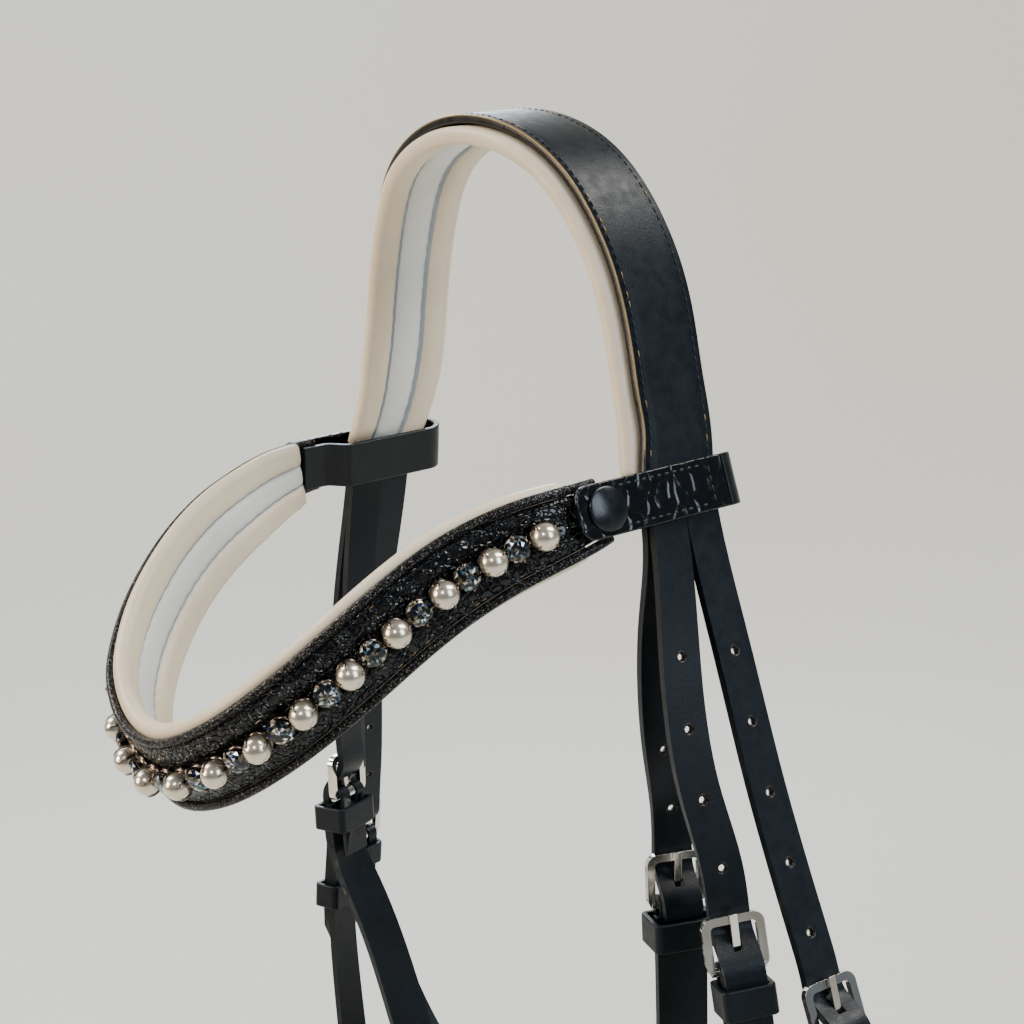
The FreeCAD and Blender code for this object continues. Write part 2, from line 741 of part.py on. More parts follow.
# ---------------------------------------------------------------- browband
band_thick, band_tall = dim("bandThick"), dim("bandTall")
tab_thick, tab_wide = dim("tabThick"), dim("tabWide")
loop = Frame(split, out_split, along_split * -1)
loop_drop = -0.4                                   # middle of the loops, from the split
inner_run = -(leather / 2 + lining + FREE + tab_thick / 2)
outer_run = leather / 2 + FREE + tab_thick / 2
fold_radius = (outer_run - inner_run) / 2
snap_room = 2.5                                    # between the band's face and the tab
band_depth = outer_run - tab_thick / 2 - snap_room - band_thick / 2
band_run = both_sides(
    [tuple(loop.at(band_depth, -21, 0.1)), tuple(loop.at(band_depth, -31, -0.8)),
     tuple(loop.at(band_depth, -41, -2.1)), (81.2, -60, -117.2),
     (75.0, -82, -126.0), (62.5, -112, -147.0), (40.5, -133, -167.0), (0.0, -143, -180.0)],
    [tuple(out_split)] * 3 + [(1, -0.25, 0.1), (1, -0.3, 0), (0.85, -0.55, -0.22), (0.55, -0.83, -0.42),
     (0, -1, -0.42)],
)


def band_height(along):
    """The band narrows to the width of its tabs at both ends."""
    from_end = min(along, band_run.length - along)
    share = min(1.0, from_end / 70.0)
    return dim("bandEndTall") + (band_tall - dim("bandEndTall")) * math.sin(share * math.pi / 2)


def make_band():
    keep(add_shape("browband_strap", band_run.strap(band_height, band_thick)))
    inside = -(band_thick + dim("bandLiningThick") + SEAM) / 2
    taller = dim("bandLiningTall") - band_tall
    bare = 17.0
    keep(add_shape("browband_lining", band_run.strap(
        lambda along: band_height(along) + taller, dim("bandLiningThick"), bare, band_run.length - bare,
        inside)))
    wide = dim("pipingWide")
    rods = [
        band_run.strap(wide, band_thick - SEAM, 8.0, band_run.length - 8.0, SEAM / 2,
                       lambda along: side * ((band_height(along) + wide) / 2 + SEAM))
        for side in (-1, 1)
    ]
    keep(add_shape("browband_piping", Part.makeCompound(rods)))


def make_stones():
    """Pearls and crystals by turns, each in a small metal setting."""
    face = band_thick / 2 + CLEAR
    seat = face + dim("settingTall")
    pearls, crystals, settings = [], [], []
    aside = int(dim("stonesAside"))
    for k in range(-aside, aside + 1):
        place = band_run.station(band_run.length / 2 + k * dim("stonePitch"))
        settings.append(Part.makeCylinder(dim("settingRadius"), dim("settingTall"), place.at(face), place.x))
        if k % 2 == 0:
            radius = dim("pearlRadius")
            above_seat = 0.7                       # share of the radius between seat and middle
            sunk = math.degrees(math.asin(above_seat))
            middle = place.at(seat + CLEAR + radius * above_seat)
            pearls.append(Part.makeSphere(radius, middle, place.x, -sunk, 90, 360))
        else:
            radius = dim("crystalRadius")
            girdle = Part.makeCylinder(radius, 1.0, place.at(seat + 1.5), place.x)
            below = Part.makeCone(dim("settingRadius") - 0.3, radius, 1.4, place.at(seat + CLEAR), place.x)
            crown = Part.makeCone(radius, radius * 0.55, 1.5, place.at(seat + 2.5), place.x)
            crystals.append(below.fuse([girdle, crown]))
    keep(add_shape("browband_pearls", Part.makeCompound(pearls)))
    keep(add_shape("browband_crystals", Part.makeCompound(crystals)))
    keep(add_shape("stone_settings", Part.makeCompound(settings)))


def make_loop_strap():
    """From the back of the band, inside the headpiece, and round its rear edge."""
    body = new_body("browband_loop", loop.moved(z=loop_drop))
    sketch = new_sketch(body, "XY_Plane", "browband_loop_profile")
    start = band_depth - band_thick / 2 - SEAM - tab_thick / 2
    bend, slant = 4.0, 40.0
    side = start - inner_run
    reach = side - 2 * (bend / math.radians(slant)) * (1 - math.cos(math.radians(slant)))
    straight = reach / math.sin(math.radians(slant))
    advance = 2 * (bend / math.radians(slant)) * math.sin(math.radians(slant))
    advance += straight * math.cos(math.radians(slant))
    turned_at = -dim("headpieceLiningWide") / 2 - 0.4
    first = 8.0
    draw_ribbon(sketch, (start, turned_at - advance - first), 90,
                [(first, 0), (bend, slant), (straight, 0), (bend, -slant),
                 (dim("foldBehind") - turned_at, 0), (math.pi * fold_radius, -180)], tab_thick)
    add_pad(body, sketch, "Dimensions.tabWide")
    pair(body, "browband_loop")


tab_place = loop.moved(x=outer_run, z=loop_drop)
hinge_place = tab_place.at(tab_thick / 2, dim("foldBehind") - CLEAR, 0)
snap_place = tab_place.moved(y=-dim("snapForward"))


def make_tab():
    """Outer tab with a rounded front end. It opens outwards from the fold behind the headpiece."""
    body = new_body("snap_tab", tab_place)
    sketch = new_sketch(body, "YZ_Plane", "snap_tab_outline")
    half, rear, front, corner = tab_wide / 2, dim("foldBehind") - CLEAR, -dim("tabForward"), 5.0
    for start, end in (((rear, -half), (rear, half)), ((rear, half), (front + corner, half)),
                       ((front, half - corner), (front, corner - half)),
                       ((front + corner, -half), (rear, -half))):
        sketch.addGeometry(Part.LineSegment(flat(*start), flat(*end)), False)
    for side, first in ((1, math.pi / 2), (-1, math.pi)):
        circle = Part.Circle(flat(front + corner, side * (half - corner)), Vector(0, 0, 1), corner)
        sketch.addGeometry(Part.ArcOfCircle(circle, first, first + math.pi / 2), False)
    add_pad(body, sketch, "Dimensions.tabThick")
    pair(body, "snap_tab")


def make_snap():
    """Press fastener: domed cap and socket on the tab, stud on the band."""
    cap_radius, cap_tall = dim("capRadius"), dim("capTall")
    outer = tab_thick / 2 + CLEAR / 2
    body = new_body("snap_cap", snap_place)
    half = new_sketch(body, "XZ_Plane", "snap_cap_half")
    rim = 0.9
    rise = cap_tall - rim
    sphere = (cap_radius ** 2 + rise ** 2) / (2 * rise)
    half_way = cap_radius / 2
    dome = Part.Arc(flat(outer + rim, cap_radius),
                    flat(outer + cap_tall - sphere + math.sqrt(sphere ** 2 - half_way ** 2), half_way),
                    flat(outer + cap_tall, 0))
    for edge in (Part.LineSegment(flat(outer, 0), flat(outer, cap_radius)),
                 Part.LineSegment(flat(outer, cap_radius), flat(outer + rim, cap_radius)), dome,
                 Part.LineSegment(flat(outer + cap_tall, 0), flat(outer, 0))):
        half.addGeometry(edge, False)
    turn = body.newObject("PartDesign::Revolution", "snap_cap_turn")
    turn.Profile = half
    turn.ReferenceAxis = (half, ["H_Axis"])
    turn.Angle = 360
    pair(body, "snap_cap")
    x = snap_place.x
    top = snap_place.at(-tab_thick / 2 - CLEAR / 2)
    deep = snap_room - CLEAR / 2 - 0.9
    socket = Part.makeCylinder(dim("studRadius"), deep, top, x * -1)
    socket = socket.cut(Part.makeCylinder(dim("postRadius") + 0.5, deep, top, x * -1))
    pair(add_shape("snap_socket", socket), "snap_socket")
    base = snap_place.at(-tab_thick / 2 - snap_room + SEAM)
    stud = Part.makeCylinder(dim("studRadius"), 0.4, base, x)
    stud = stud.fuse(Part.makeCylinder(dim("postRadius"), 1.9, base, x))
    both("snap_studs", stud)


make_band()
make_stones()
make_loop_strap()
make_tab()
make_snap()

# ---------------------------------------------------------------- jaw strap
jaw_ride = fold_inner + nose_thick + CLEAR + strap_thick / 2      # middle of the billet above the bar
jaw_lap = -(nose_thick / 2 + CLEAR + strap_thick / 2)


def make_jaw():
    """The strap behind the jaw is sewn inside the right end of the nosepiece and buckles on the left."""
    end = nose_run.length
    first, second = nose_run.station(end - 24), nose_run.station(end - 3)
    points = [first.at(jaw_lap), second.at(jaw_lap), (-61, 50, -377), (-36, 68, -376), (0, 75, -376),
              (36, 68, -376)]
    outs = [first.x, second.x, (-0.8, 0.6, 0), (-0.5, 0.85, 0), (0, 1, 0), (0.5, 0.85, 0)]
    points += [jaw_place.at(behind_top, 0, frame_long + 10)] + cross_buckle(jaw_place, jaw_ride)
    outs += [jaw_place.x] * 6
    lie_on = Run([jaw_place.at(0, 0, fold_start)] + [nose_run.station(k).at(-fold_inner - nose_thick / 2)
                                                     for k in (7, 14, 22, 30)],
                 [nose_run.station(k).x for k in (0, 7, 14, 22, 30)])
    strap = billet_strap(Run(points, outs), jaw_place, lie_on, 21.0, strap_wide, 3, 0, jaw_ride)
    keep(add_shape("jaw_strap", strap))
    for feature in (make_frame("jaw_buckle", jaw_place), make_tongue("jaw_tongue", jaw_place)):
        keep(feature)
    inner = -(fold_inner + fold_thick) - FREE
    outer = jaw_ride + strap_thick / 2 + FREE
    wide = nose_height(14.0) + 1.0
    keep(make_keeper("jaw_keeper", jaw_place.moved(z=keeper_middle), inner, outer, wide))


make_jaw()

# ---------------------------------------------------------------- bit


def make_bit():
    """Loose rings, and a mouthpiece in two halves that are linked in the middle."""
    centre = Vector(ring_x, ring_y, ring_z)
    body = new_body("bit_ring")
    body.Placement.Base = centre
    section = new_sketch(body, "XY_Plane", "bit_ring_section")
    draw_circle(section, wire, (0, ring_radius), "Dimensions.ringWireRadius")
    turn = body.newObject("PartDesign::Revolution", "bit_ring_turn")
    turn.Profile = section
    turn.ReferenceAxis = (section, ["H_Axis"])
    turn.Angle = 360
    pair(body, "bit_ring")
    for side, name in ((1, "bit_mouth_left"), (-1, "bit_mouth_right")):
        keep(add_shape(name, mouth_half(side)))


def mouth_half(side):
    """Half of the mouthpiece: an eye round the ring, a tapered bar, and an eye round its twin."""
    low = ring_z - ring_radius
    seat = Vector(side * ring_x, ring_y, low)
    along, across = Vector(side, 0, 0), Vector(0, 1, 0)
    eye = bore(seat, across, dim("eyeRadius"), 10.0)
    link_radius, link_wire = dim("linkRadius"), dim("linkWireRadius")
    link_x = link_radius / 2
    middle = Vector(side * link_x, ring_y, low)
    link = Part.makeTorus(link_radius, link_wire, middle, across if side > 0 else Vector(0, 0, 1))
    inner = link_x + link_radius
    outer = ring_x - dim("eyeRadius") + 1.5
    cone = Part.makeCone(4.6, 7.2, outer - inner, Vector(side * inner, ring_y, low), along)
    hole = bore(seat, across, dim("eyeHoleRadius"), 12.0)
    solid = eye.fuse([cone.cut(bore(middle, link_axis(side), link_radius, 12.0)), link]).cut(hole)
    return solid


def link_axis(side):
    """Axis of the middle eye: across the bit on the left half, upright on the right half."""
    return Vector(0, 1, 0) if side > 0 else Vector(0, 0, 1)


make_bit()

# ---------------------------------------------------------------- check and export
doc.recompute()
for obj in doc.Objects:
    if "Invalid" in obj.State or "Error" in obj.State:
        raise RuntimeError(f"{obj.Label} did not build: {obj.State}")
for feature in sub_parts:
    if feature.Shape.isNull() or not feature.Shape.isValid():
        raise RuntimeError(f"{feature.Label} has no valid shape")
    feature.Shape.exportStep(f"parts/{feature.Label}.step")
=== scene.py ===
import bpy
import bmesh
import json
import math
import numpy as np
from mathutils import Matrix, Vector


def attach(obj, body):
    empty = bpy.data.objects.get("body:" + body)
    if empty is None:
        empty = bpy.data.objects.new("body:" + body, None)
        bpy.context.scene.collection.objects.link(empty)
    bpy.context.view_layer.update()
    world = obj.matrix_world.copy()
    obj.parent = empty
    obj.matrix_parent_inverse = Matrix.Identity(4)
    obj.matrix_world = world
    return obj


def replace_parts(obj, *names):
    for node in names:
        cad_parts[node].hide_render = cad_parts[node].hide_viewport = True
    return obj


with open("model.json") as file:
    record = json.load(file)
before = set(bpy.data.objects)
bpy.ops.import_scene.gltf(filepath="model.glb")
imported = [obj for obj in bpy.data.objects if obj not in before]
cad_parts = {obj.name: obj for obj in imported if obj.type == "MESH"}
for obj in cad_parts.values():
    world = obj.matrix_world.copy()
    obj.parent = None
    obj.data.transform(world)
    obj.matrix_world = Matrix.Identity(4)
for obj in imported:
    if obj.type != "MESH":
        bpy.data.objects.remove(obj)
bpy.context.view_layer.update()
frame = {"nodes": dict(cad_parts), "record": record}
draw = np.random.RandomState(11)

# The script works in metres, as the frame does.
SHARP = math.radians(50)  # faces that meet at more than this make an edge of a strap or a hole
END_EDGE = 0.02  # a longer first or last segment of a rail runs across the end of the strap
SHORTEST_RAIL = 0.08
SMALLEST_HOLE, LARGEST_HOLE = 0.001, 0.0026  # radii
THICKEST_STRAP = 0.0036  # the two rims of a punched hole lie closer than this
TONGUE_REACH = 0.0022  # a hole with a tongue nearer than this is in use
LINING_ROWS = 44  # strips across each face of a padded lining
SEAM_SHADE_HALF = 0.036  # half the width of the darker strip of painted shade along each sewn seam, as a share of half the lining
DASH = (0.12, 0.86)  # where a stitch starts and ends within its pitch

NODES = frame["nodes"]
BODY = {node: body for body, nodes in frame["record"]["behaviour"]["bodies"].items() for node in nodes}
SLOT = {part["node"]: part["material_slot"] for part in frame["record"]["subparts"]}
SIDES = ("left", "right")


# ---------------------------------------------------------------- node trees


class Shader:
    """A material with a Principled shader, and short ways to add nodes to it, all in object space."""

    def __init__(self, name, color, rough=0.5, metal=0.0, **inputs):
        self.material = bpy.data.materials.new(name)
        self.material.use_nodes = True
        self.tree = self.material.node_tree
        self.bsdf = self.tree.nodes["Principled BSDF"]
        self.bsdf.inputs["Base Color"].default_value = (*color, 1)
        self.bsdf.inputs["Roughness"].default_value = rough
        self.bsdf.inputs["Metallic"].default_value = metal
        for key, value in inputs.items():
            self.bsdf.inputs[key.replace("_", " ")].default_value = value
        self.place = self.add("ShaderNodeTexCoord").outputs["Object"]
        self.last_bump = None

    def add(self, kind, **settings):
        node = self.tree.nodes.new(kind)
        for key, value in settings.items():
            setattr(node, key, value)
        return node

    def link(self, output, entry):
        self.tree.links.new(output, entry)

    def noise(self, scale, detail=3.0, rough=0.55):
        """Soft noise with a number of cycles to the metre."""
        node = self.add("ShaderNodeTexNoise")
        node.inputs["Scale"].default_value = scale
        node.inputs["Detail"].default_value = detail
        node.inputs["Roughness"].default_value = rough
        self.link(self.place, node.inputs["Vector"])
        return node.outputs["Fac"]

    def cells(self, scale, feature="F1", output="Distance", warp=0.0):
        """Voronoi cells. warp is the reach in metres of a noise that bends them."""
        node = self.add("ShaderNodeTexVoronoi", feature=feature)
        node.inputs["Scale"].default_value = scale
        place = self.place
        if warp:
            bend = self.add("ShaderNodeTexNoise")
            bend.inputs["Scale"].default_value = scale * 0.35
            self.link(self.place, bend.inputs["Vector"])
            shift = self.add("ShaderNodeVectorMath", operation="MULTIPLY_ADD")
            self.link(bend.outputs["Color"], shift.inputs[0])
            shift.inputs[1].default_value = (warp, warp, warp)
            self.link(self.place, shift.inputs[2])
            place = shift.outputs[0]
        self.link(place, node.inputs["Vector"])
        return node.outputs[output]

    def span(self, value, low, high, to_low=0.0, to_high=1.0):
        """The value with its range from low to high moved to another range, and kept inside it."""
        node = self.add("ShaderNodeMapRange")
        self.link(value, node.inputs["Value"])
        for key, number in (("From Min", low), ("From Max", high), ("To Min", to_low), ("To Max", to_high)):
            node.inputs[key].default_value = number
        return node.outputs["Result"]

    def mix(self, amount, first, second):
        """A blend of two colours, each a tuple or an output."""
        node = self.add("ShaderNodeMix", data_type="RGBA")
        self.link(amount, node.inputs[0])
        for entry, value in ((node.inputs[6], first), (node.inputs[7], second)):
            if isinstance(value, tuple):
                entry.default_value = (*value, 1)
            else:
                self.link(value, entry)
        return node.outputs[2]

    def color(self, output):
        self.link(output, self.bsdf.inputs["Base Color"])

    def roughness(self, output):
        self.link(output, self.bsdf.inputs["Roughness"])

    def bump(self, height, depth, strength=1.0):
        """Adds relief, with depth in metres."""
        node = self.add("ShaderNodeBump")
        node.inputs["Strength"].default_value = strength
        node.inputs["Distance"].default_value = depth
        self.link(height, node.inputs["Height"])
        if self.last_bump:
            self.link(self.last_bump, node.inputs["Normal"])
        self.last_bump = node.outputs["Normal"]
        self.link(self.last_bump, self.bsdf.inputs["Normal"])


def smooth_leather(name, color, rough, grain=0.00006, shine=0.3):
    """Satin leather: fine grain, faint unevenness and a slightly mottled finish."""
    shader = Shader(name, color, rough, Specular_IOR_Level=shine)
    shader.roughness(shader.span(shader.noise(260), 0.3, 0.7, rough - 0.06, rough + 0.09))
    lighter = tuple(part * 1.4 + 0.001 for part in color)
    shader.color(shader.mix(shader.span(shader.noise(45, 4), 0.4, 0.7), color, lighter))
    shader.bump(shader.cells(1500), grain, 0.5)
    shader.bump(shader.noise(120, 5), 0.0002, 0.12)
    return shader


def patent_leather(name, scale, relief=0.8):
    """Black patent that is crackled into small glossy pillows."""
    shader = Shader(name, (0.002, 0.0025, 0.0035), 0.1, Specular_IOR_Level=0.38)
    edges = shader.cells(scale, "DISTANCE_TO_EDGE", warp=0.007)
    shader.roughness(shader.span(shader.noise(200), 0.35, 0.65, 0.08, 0.2))
    shader.bump(shader.span(edges, 0.0, 0.16), 0.0005, relief)
    shader.bump(shader.noise(scale * 0.5, 2), 0.0016, 0.35)
    return shader


def glitter(name):
    """Dark glitter: every small cell has its own brightness, gloss and tilt."""
    shader = Shader(name, (0.006, 0.006, 0.007), 0.4, 0.35, Specular_IOR_Level=0.2)
    flakes = shader.cells(3600, "F1", "Color")
    split = shader.add("ShaderNodeSeparateColor")
    shader.link(flakes, split.inputs[0])
    spark = shader.span(split.outputs[0], 0.78, 1.0)
    shader.color(shader.mix(spark, (0.004, 0.004, 0.005), (0.26, 0.23, 0.21)))
    shader.roughness(shader.span(split.outputs[1], 0.0, 1.0, 0.15, 0.6))
    shader.bump(split.outputs[2], 0.0004, 0.9)
    return shader


def lining_leather(name, color):
    """Soft pale leather that is slightly uneven over its stuffing."""
    shader = Shader(name, color, 0.42, Subsurface_Weight=0.06)
    shader.bsdf.inputs["Subsurface Radius"].default_value = (0.004, 0.002, 0.001)
    darker = tuple(part * 0.88 for part in color)
    shader.color(shader.mix(shader.span(shader.noise(30, 4), 0.35, 0.7), color, darker))
    shader.bump(shader.cells(1300), 0.00005, 0.5)
    shader.bump(shader.noise(95, 3), 0.0012, 0.3)
    shader.bump(shader.noise(300, 4), 0.0003, 0.25)
    return shader


def polished(name, color, rough):
    """Metal with a faintly uneven polish."""
    shader = Shader(name, color, rough, 1.0)
    shader.roughness(shader.span(shader.noise(180, 4), 0.3, 0.7, rough, rough + 0.12))
    return shader


def stone_with_painted_glints(name, rough, metal):
    """Colour from the mesh, so that every facet of a stone is its own, painted reflections and glints
    included.
    """
    shader = Shader(name, (0.1, 0.1, 0.1), rough, metal, Coat_Weight=0.6, Coat_Roughness=0.03)
    tint = shader.add("ShaderNodeVertexColor", layer_name="facet")
    shader.color(tint.outputs["Color"])
    return shader


def pearl_shader(name):
    """Champagne pearl under a thin clear coat."""
    shader = Shader(name, (0.76, 0.665, 0.52), 0.24, 0.85, Coat_Weight=0.8, Coat_Roughness=0.06)
    cloud = shader.span(shader.noise(160, 2), 0.35, 0.7)
    shader.color(shader.mix(cloud, (0.78, 0.69, 0.55), (0.70, 0.60, 0.46)))
    return shader


BLACK = smooth_leather("black leather", (0.0018, 0.0040, 0.0066), 0.38, shine=0.22).material
BLACK_EDGE = smooth_leather("burnished edge", (0.008, 0.0055, 0.004), 0.3).material
PLAIN = smooth_leather("plain loop leather", (0.004, 0.0062, 0.0078), 0.32, shine=0.25).material
PATENT = patent_leather("patent leather", 190, 0.3).material
BAND_PATENT = patent_leather("crinkled patent", 430).material
GLITTER = glitter("glitter piping").material
CREAM = lining_leather("cream lining", (0.76, 0.63, 0.46)).material
PALE = lining_leather("pale lining", (0.72, 0.71, 0.67)).material
# the seam material is painted shade: a darker grey-blue strip that makes each sewn groove look deeper
SEAM_SHADE = lining_leather("painted seam shade", (0.33, 0.37, 0.40)).material
PEARL = pearl_shader("pearl").material
# the crystals' facet colours are the dark stone with painted reflections and glints
CRYSTAL = stone_with_painted_glints("dark crystal", 0.04, 0.8).material
GUNMETAL = polished("gunmetal", (0.20, 0.155, 0.12), 0.2).material
CAP = smooth_leather("satin black cap", (0.0015, 0.003, 0.005), 0.24, 0.00001, 0.4).material
NICKEL = polished("nickel plate", (0.80, 0.77, 0.72), 0.08).material
STEEL = polished("bit steel", (0.74, 0.74, 0.735), 0.12).material
DARK_THREAD = smooth_leather("dark thread", (0.012, 0.018, 0.022), 0.35).material
GOLD_THREAD = polished("gold fleck", (0.30, 0.21, 0.10), 0.45).material

FINISH = {
    "black_leather": BLACK, "patent_leather": PATENT, "headpiece_lining": CREAM, "browband_lining": PALE,
    "nosepiece_lining": PALE, "glitter_piping": GLITTER, "pearls": PEARL, "crystals": CRYSTAL,
    "stone_settings": GUNMETAL, "snap_cap": CAP, "nickel": NICKEL, "bit_steel": STEEL,
}
for node, thing in NODES.items():
    thing.data.materials.clear()
    thing.data.materials.append(FINISH[SLOT[node]])


# ---------------------------------------------------------------- meshes from the frame


def new_piece(name, mesh, node, materials, smooth=True):
    """An object that rides with the body of a node and takes the materials it is given."""
    piece = bpy.data.objects.new(name, mesh)
    bpy.context.scene.collection.objects.link(piece)
    for material in materials:
        mesh.materials.append(material)
    if smooth:
        mesh.polygons.foreach_set("use_smooth", [True] * len(mesh.polygons))
    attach(piece, BODY[node])
    return piece


def welded(node):
    """The node's surface with its vertices joined."""
    form = bmesh.new()
    form.from_mesh(NODES[node].data)
    bmesh.ops.remove_doubles(form, verts=form.verts, dist=2e-6)
    return form


def rounded(node, width, materials=None, segments=3):
    """The node with its sharp edges rounded."""
    form = welded(node)
    bmesh.ops.dissolve_limit(form, angle_limit=math.radians(0.4), verts=form.verts, edges=form.edges)
    mesh = bpy.data.meshes.new(node + "_rounded")
    form.to_mesh(mesh)
    form.free()
    mesh.materials.clear()
    piece = new_piece(node + "_detail", mesh, node, materials or [FINISH[SLOT[node]]])
    bevel = piece.modifiers.new("edges", "BEVEL")
    bevel.width = width
    bevel.segments = segments
    bevel.limit_method = "ANGLE"
    bevel.angle_limit = math.radians(40)
    bevel.use_clamp_overlap = True
    piece.modifiers.new("even shading", "WEIGHTED_NORMAL").keep_sharp = True
    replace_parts(piece, node)


def connected(links):
    """Places of the vertices in each connected group, from the edges at each vertex."""
    seen, groups = set(), []
    for first in links:
        if first in seen:
            continue
        stack, group = [first], []
        seen.add(first)
        while stack:
            vertex = stack.pop()
            group.append(np.array(vertex.co))
            for edge in links[vertex]:
                other = edge.other_vert(vertex)
                if other not in seen:
                    seen.add(other)
                    stack.append(other)
        groups.append(np.array(group))
    return groups


def islands(node):
    """Vertex places of each separate solid of a node."""
    form = welded(node)
    groups = connected({vertex: list(vertex.link_edges) for vertex in form.verts})
    form.free()
    return groups


def sharp_links(form):
    """The sharp edges at each vertex that has any."""
    links = {}
    for edge in form.edges:
        if len(edge.link_faces) == 2 and edge.calc_face_angle(0) > SHARP:
            for vertex in edge.verts:
                links.setdefault(vertex, []).append(edge)
    return links


def rails(node):
    """The long sharp edges of each solid of a strap, as lines of points, longest first."""
    form = welded(node)
    links = sharp_links(form)
    corners = [vertex for vertex, edges in links.items() if len(edges) != 2]
    used, lines = set(), []
    for corner in corners:
        for edge in links[corner]:
            if edge in used:
                continue
            line, vertex = [corner.co.copy()], corner
            while True:
                used.add(edge)
                vertex = edge.other_vert(vertex)
                line.append(vertex.co.copy())
                onward = [other for other in links[vertex] if other not in used]
                if len(links[vertex]) != 2 or not onward:
                    break
                edge = onward[0]
            lines.append(np.array(line))
    form.free()
    straight = [part for line in lines for part in without_corners(line)]
    return sorted((line for line in straight if lengths(line)[-1] > SHORTEST_RAIL),
                  key=lambda line: -lengths(line)[-1])


def without_corners(line):
    """The line cut apart where it turns sharply, and without a segment across the end of a strap."""
    steps = np.diff(line, axis=0)
    ways = unit(steps)
    turns = {k + 1 for k in range(len(ways) - 1) if ways[k] @ ways[k + 1] < 0.6}
    if np.linalg.norm(steps[0]) > END_EDGE:
        turns.add(1)
    if np.linalg.norm(steps[-1]) > END_EDGE:
        turns.add(len(line) - 2)
    bounds = sorted(turns | {0, len(line) - 1})
    return [line[a:b + 1] for a, b in zip(bounds, bounds[1:]) if b > a]


def lengths(line):
    """Distance along the line at each of its points."""
    return np.concatenate([[0], np.cumsum(np.linalg.norm(np.diff(line, axis=0), axis=1))])


def evenly(line, count):
    """The line with its points spread evenly."""
    along = lengths(line)
    wanted = np.linspace(0, along[-1], count)
    return np.stack([np.interp(wanted, along, line[:, k]) for k in range(3)], 1)


def unit(rows):
    return rows / np.maximum(np.linalg.norm(rows, axis=-1, keepdims=True), 1e-12)


def same_way(lines):
    """The lines turned so that all of them start where the first does."""
    start = lines[0][0]
    return [line if np.linalg.norm(line[0] - start) < np.linalg.norm(line[-1] - start) else line[::-1]
            for line in lines]


class Strap:
    """The path of a strap, read from its four long edges, with its width and thickness at each station.

    across leads from one side of the strap to the other, and out leads away from the point inside.
    """

    def __init__(self, lines, inside, step):
        turned = same_way(lines[:4])
        count = int(lengths(turned[0])[-1] / step) + 1
        guide = np.mean([evenly(line, count) for line in turned], axis=0)
        tangent = unit(np.gradient(guide, axis=0))
        cuts = []  # for each edge, its points square across from the guide's
        for line in turned:
            fine = evenly(line, count * 6)
            cut = [line[0]]
            for point, direction in zip(guide[1:-1], tangent[1:-1]):
                off = np.abs((fine - point) @ direction) + 0.05 * np.linalg.norm(fine - point, axis=1)
                cut.append(fine[np.argmin(off)])
            cuts.append(np.array(cut + [line[-1]]))
        middle = np.mean(cuts, axis=0)
        half = count // 2
        # Two edges of one side are a thickness apart, and so nearer than those across the width.
        partner = min(range(1, 4), key=lambda k: np.linalg.norm(cuts[k][half] - cuts[0][half]))
        others = [k for k in range(1, 4) if k != partner]
        pairs = [(cuts[0], cuts[partner]), (cuts[others[0]], cuts[others[1]])]
        outward = middle[half] - inside
        pairs = [(a, b) if (b[half] - a[half]) @ outward > 0 else (b, a) for a, b in pairs]
        width = pairs[1][0][half] - pairs[0][0][half]
        if (width[2] if abs(width[2]) > 0.005 else width[1]) < 0:
            pairs.reverse()  # across leads upwards, or to the back on a level strap
        inner, outer = [pair[0] for pair in pairs], [pair[1] for pair in pairs]
        low, high = (inner[0] + outer[0]) / 2, (inner[1] + outer[1]) / 2
        self.middle = smooth_rows(middle)
        self.across = unit(smooth_rows(high - low))
        self.width = smooth_rows(np.linalg.norm(high - low, axis=1)[:, None])[:, 0]
        thick = (outer[0] + outer[1] - inner[0] - inner[1]) / 2
        self.out = unit(smooth_rows(thick))
        self.thick = smooth_rows(np.linalg.norm(thick, axis=1)[:, None])[:, 0]
        self.along = lengths(self.middle)

    def at(self, k, across, out):
        """Point at station k, at distances across and out from the middle."""
        return self.middle[k] + self.across[k] * across + self.out[k] * out


def smooth_rows(rows, times=2):
    """Each row averaged with its neighbours. The ends stay."""
    rows = np.array(rows, float)
    for _ in range(times):
        inner = (rows[:-2] + 2 * rows[1:-1] + rows[2:]) / 4
        rows = np.concatenate([rows[:1], inner, rows[-1:]])
    return rows


def tube_faces(count, ring, closed=False):
    """Faces between rings of points that follow one another. closed joins the last ring to the first."""
    faces = []
    for k in range(count if closed else count - 1):
        following = (k + 1) % count
        for j in range(ring):
            after = (j + 1) % ring
            faces.append((k * ring + j, k * ring + after, following * ring + after, following * ring + j))
    return faces


def end_faces(count, ring):
    """A face over the first and the last ring of a tube."""
    return [tuple(range(ring))[::-1], tuple((count - 1) * ring + j for j in range(ring))]


def loft(name, sections, tags=None):
    """Closed mesh through rings of points, with a flat fan at each end. tags gives each strip a material."""
    count, ring = len(sections), len(sections[0])
    places = [tuple(point) for section in sections for point in section]
    faces = tube_faces(count, ring)
    slots = (tags or [0] * ring) * (count - 1)
    for k, order in ((0, -1), (count - 1, 1)):
        centre = len(places)
        places.append(tuple(np.mean(sections[k], axis=0)))
        for j in range(ring):
            pair = (k * ring + j, k * ring + (j + 1) % ring)
            faces.append((centre, *pair[::order]))
            slots.append(0)
    mesh = bpy.data.meshes.new(name)
    mesh.from_pydata(places, [], faces)
    mesh.polygons.foreach_set("material_index", slots)
    mesh.update()
    form = bmesh.new()
    form.from_mesh(mesh)
    bmesh.ops.recalc_face_normals(form, faces=form.faces)
    form.to_mesh(mesh)
    form.free()
    return mesh


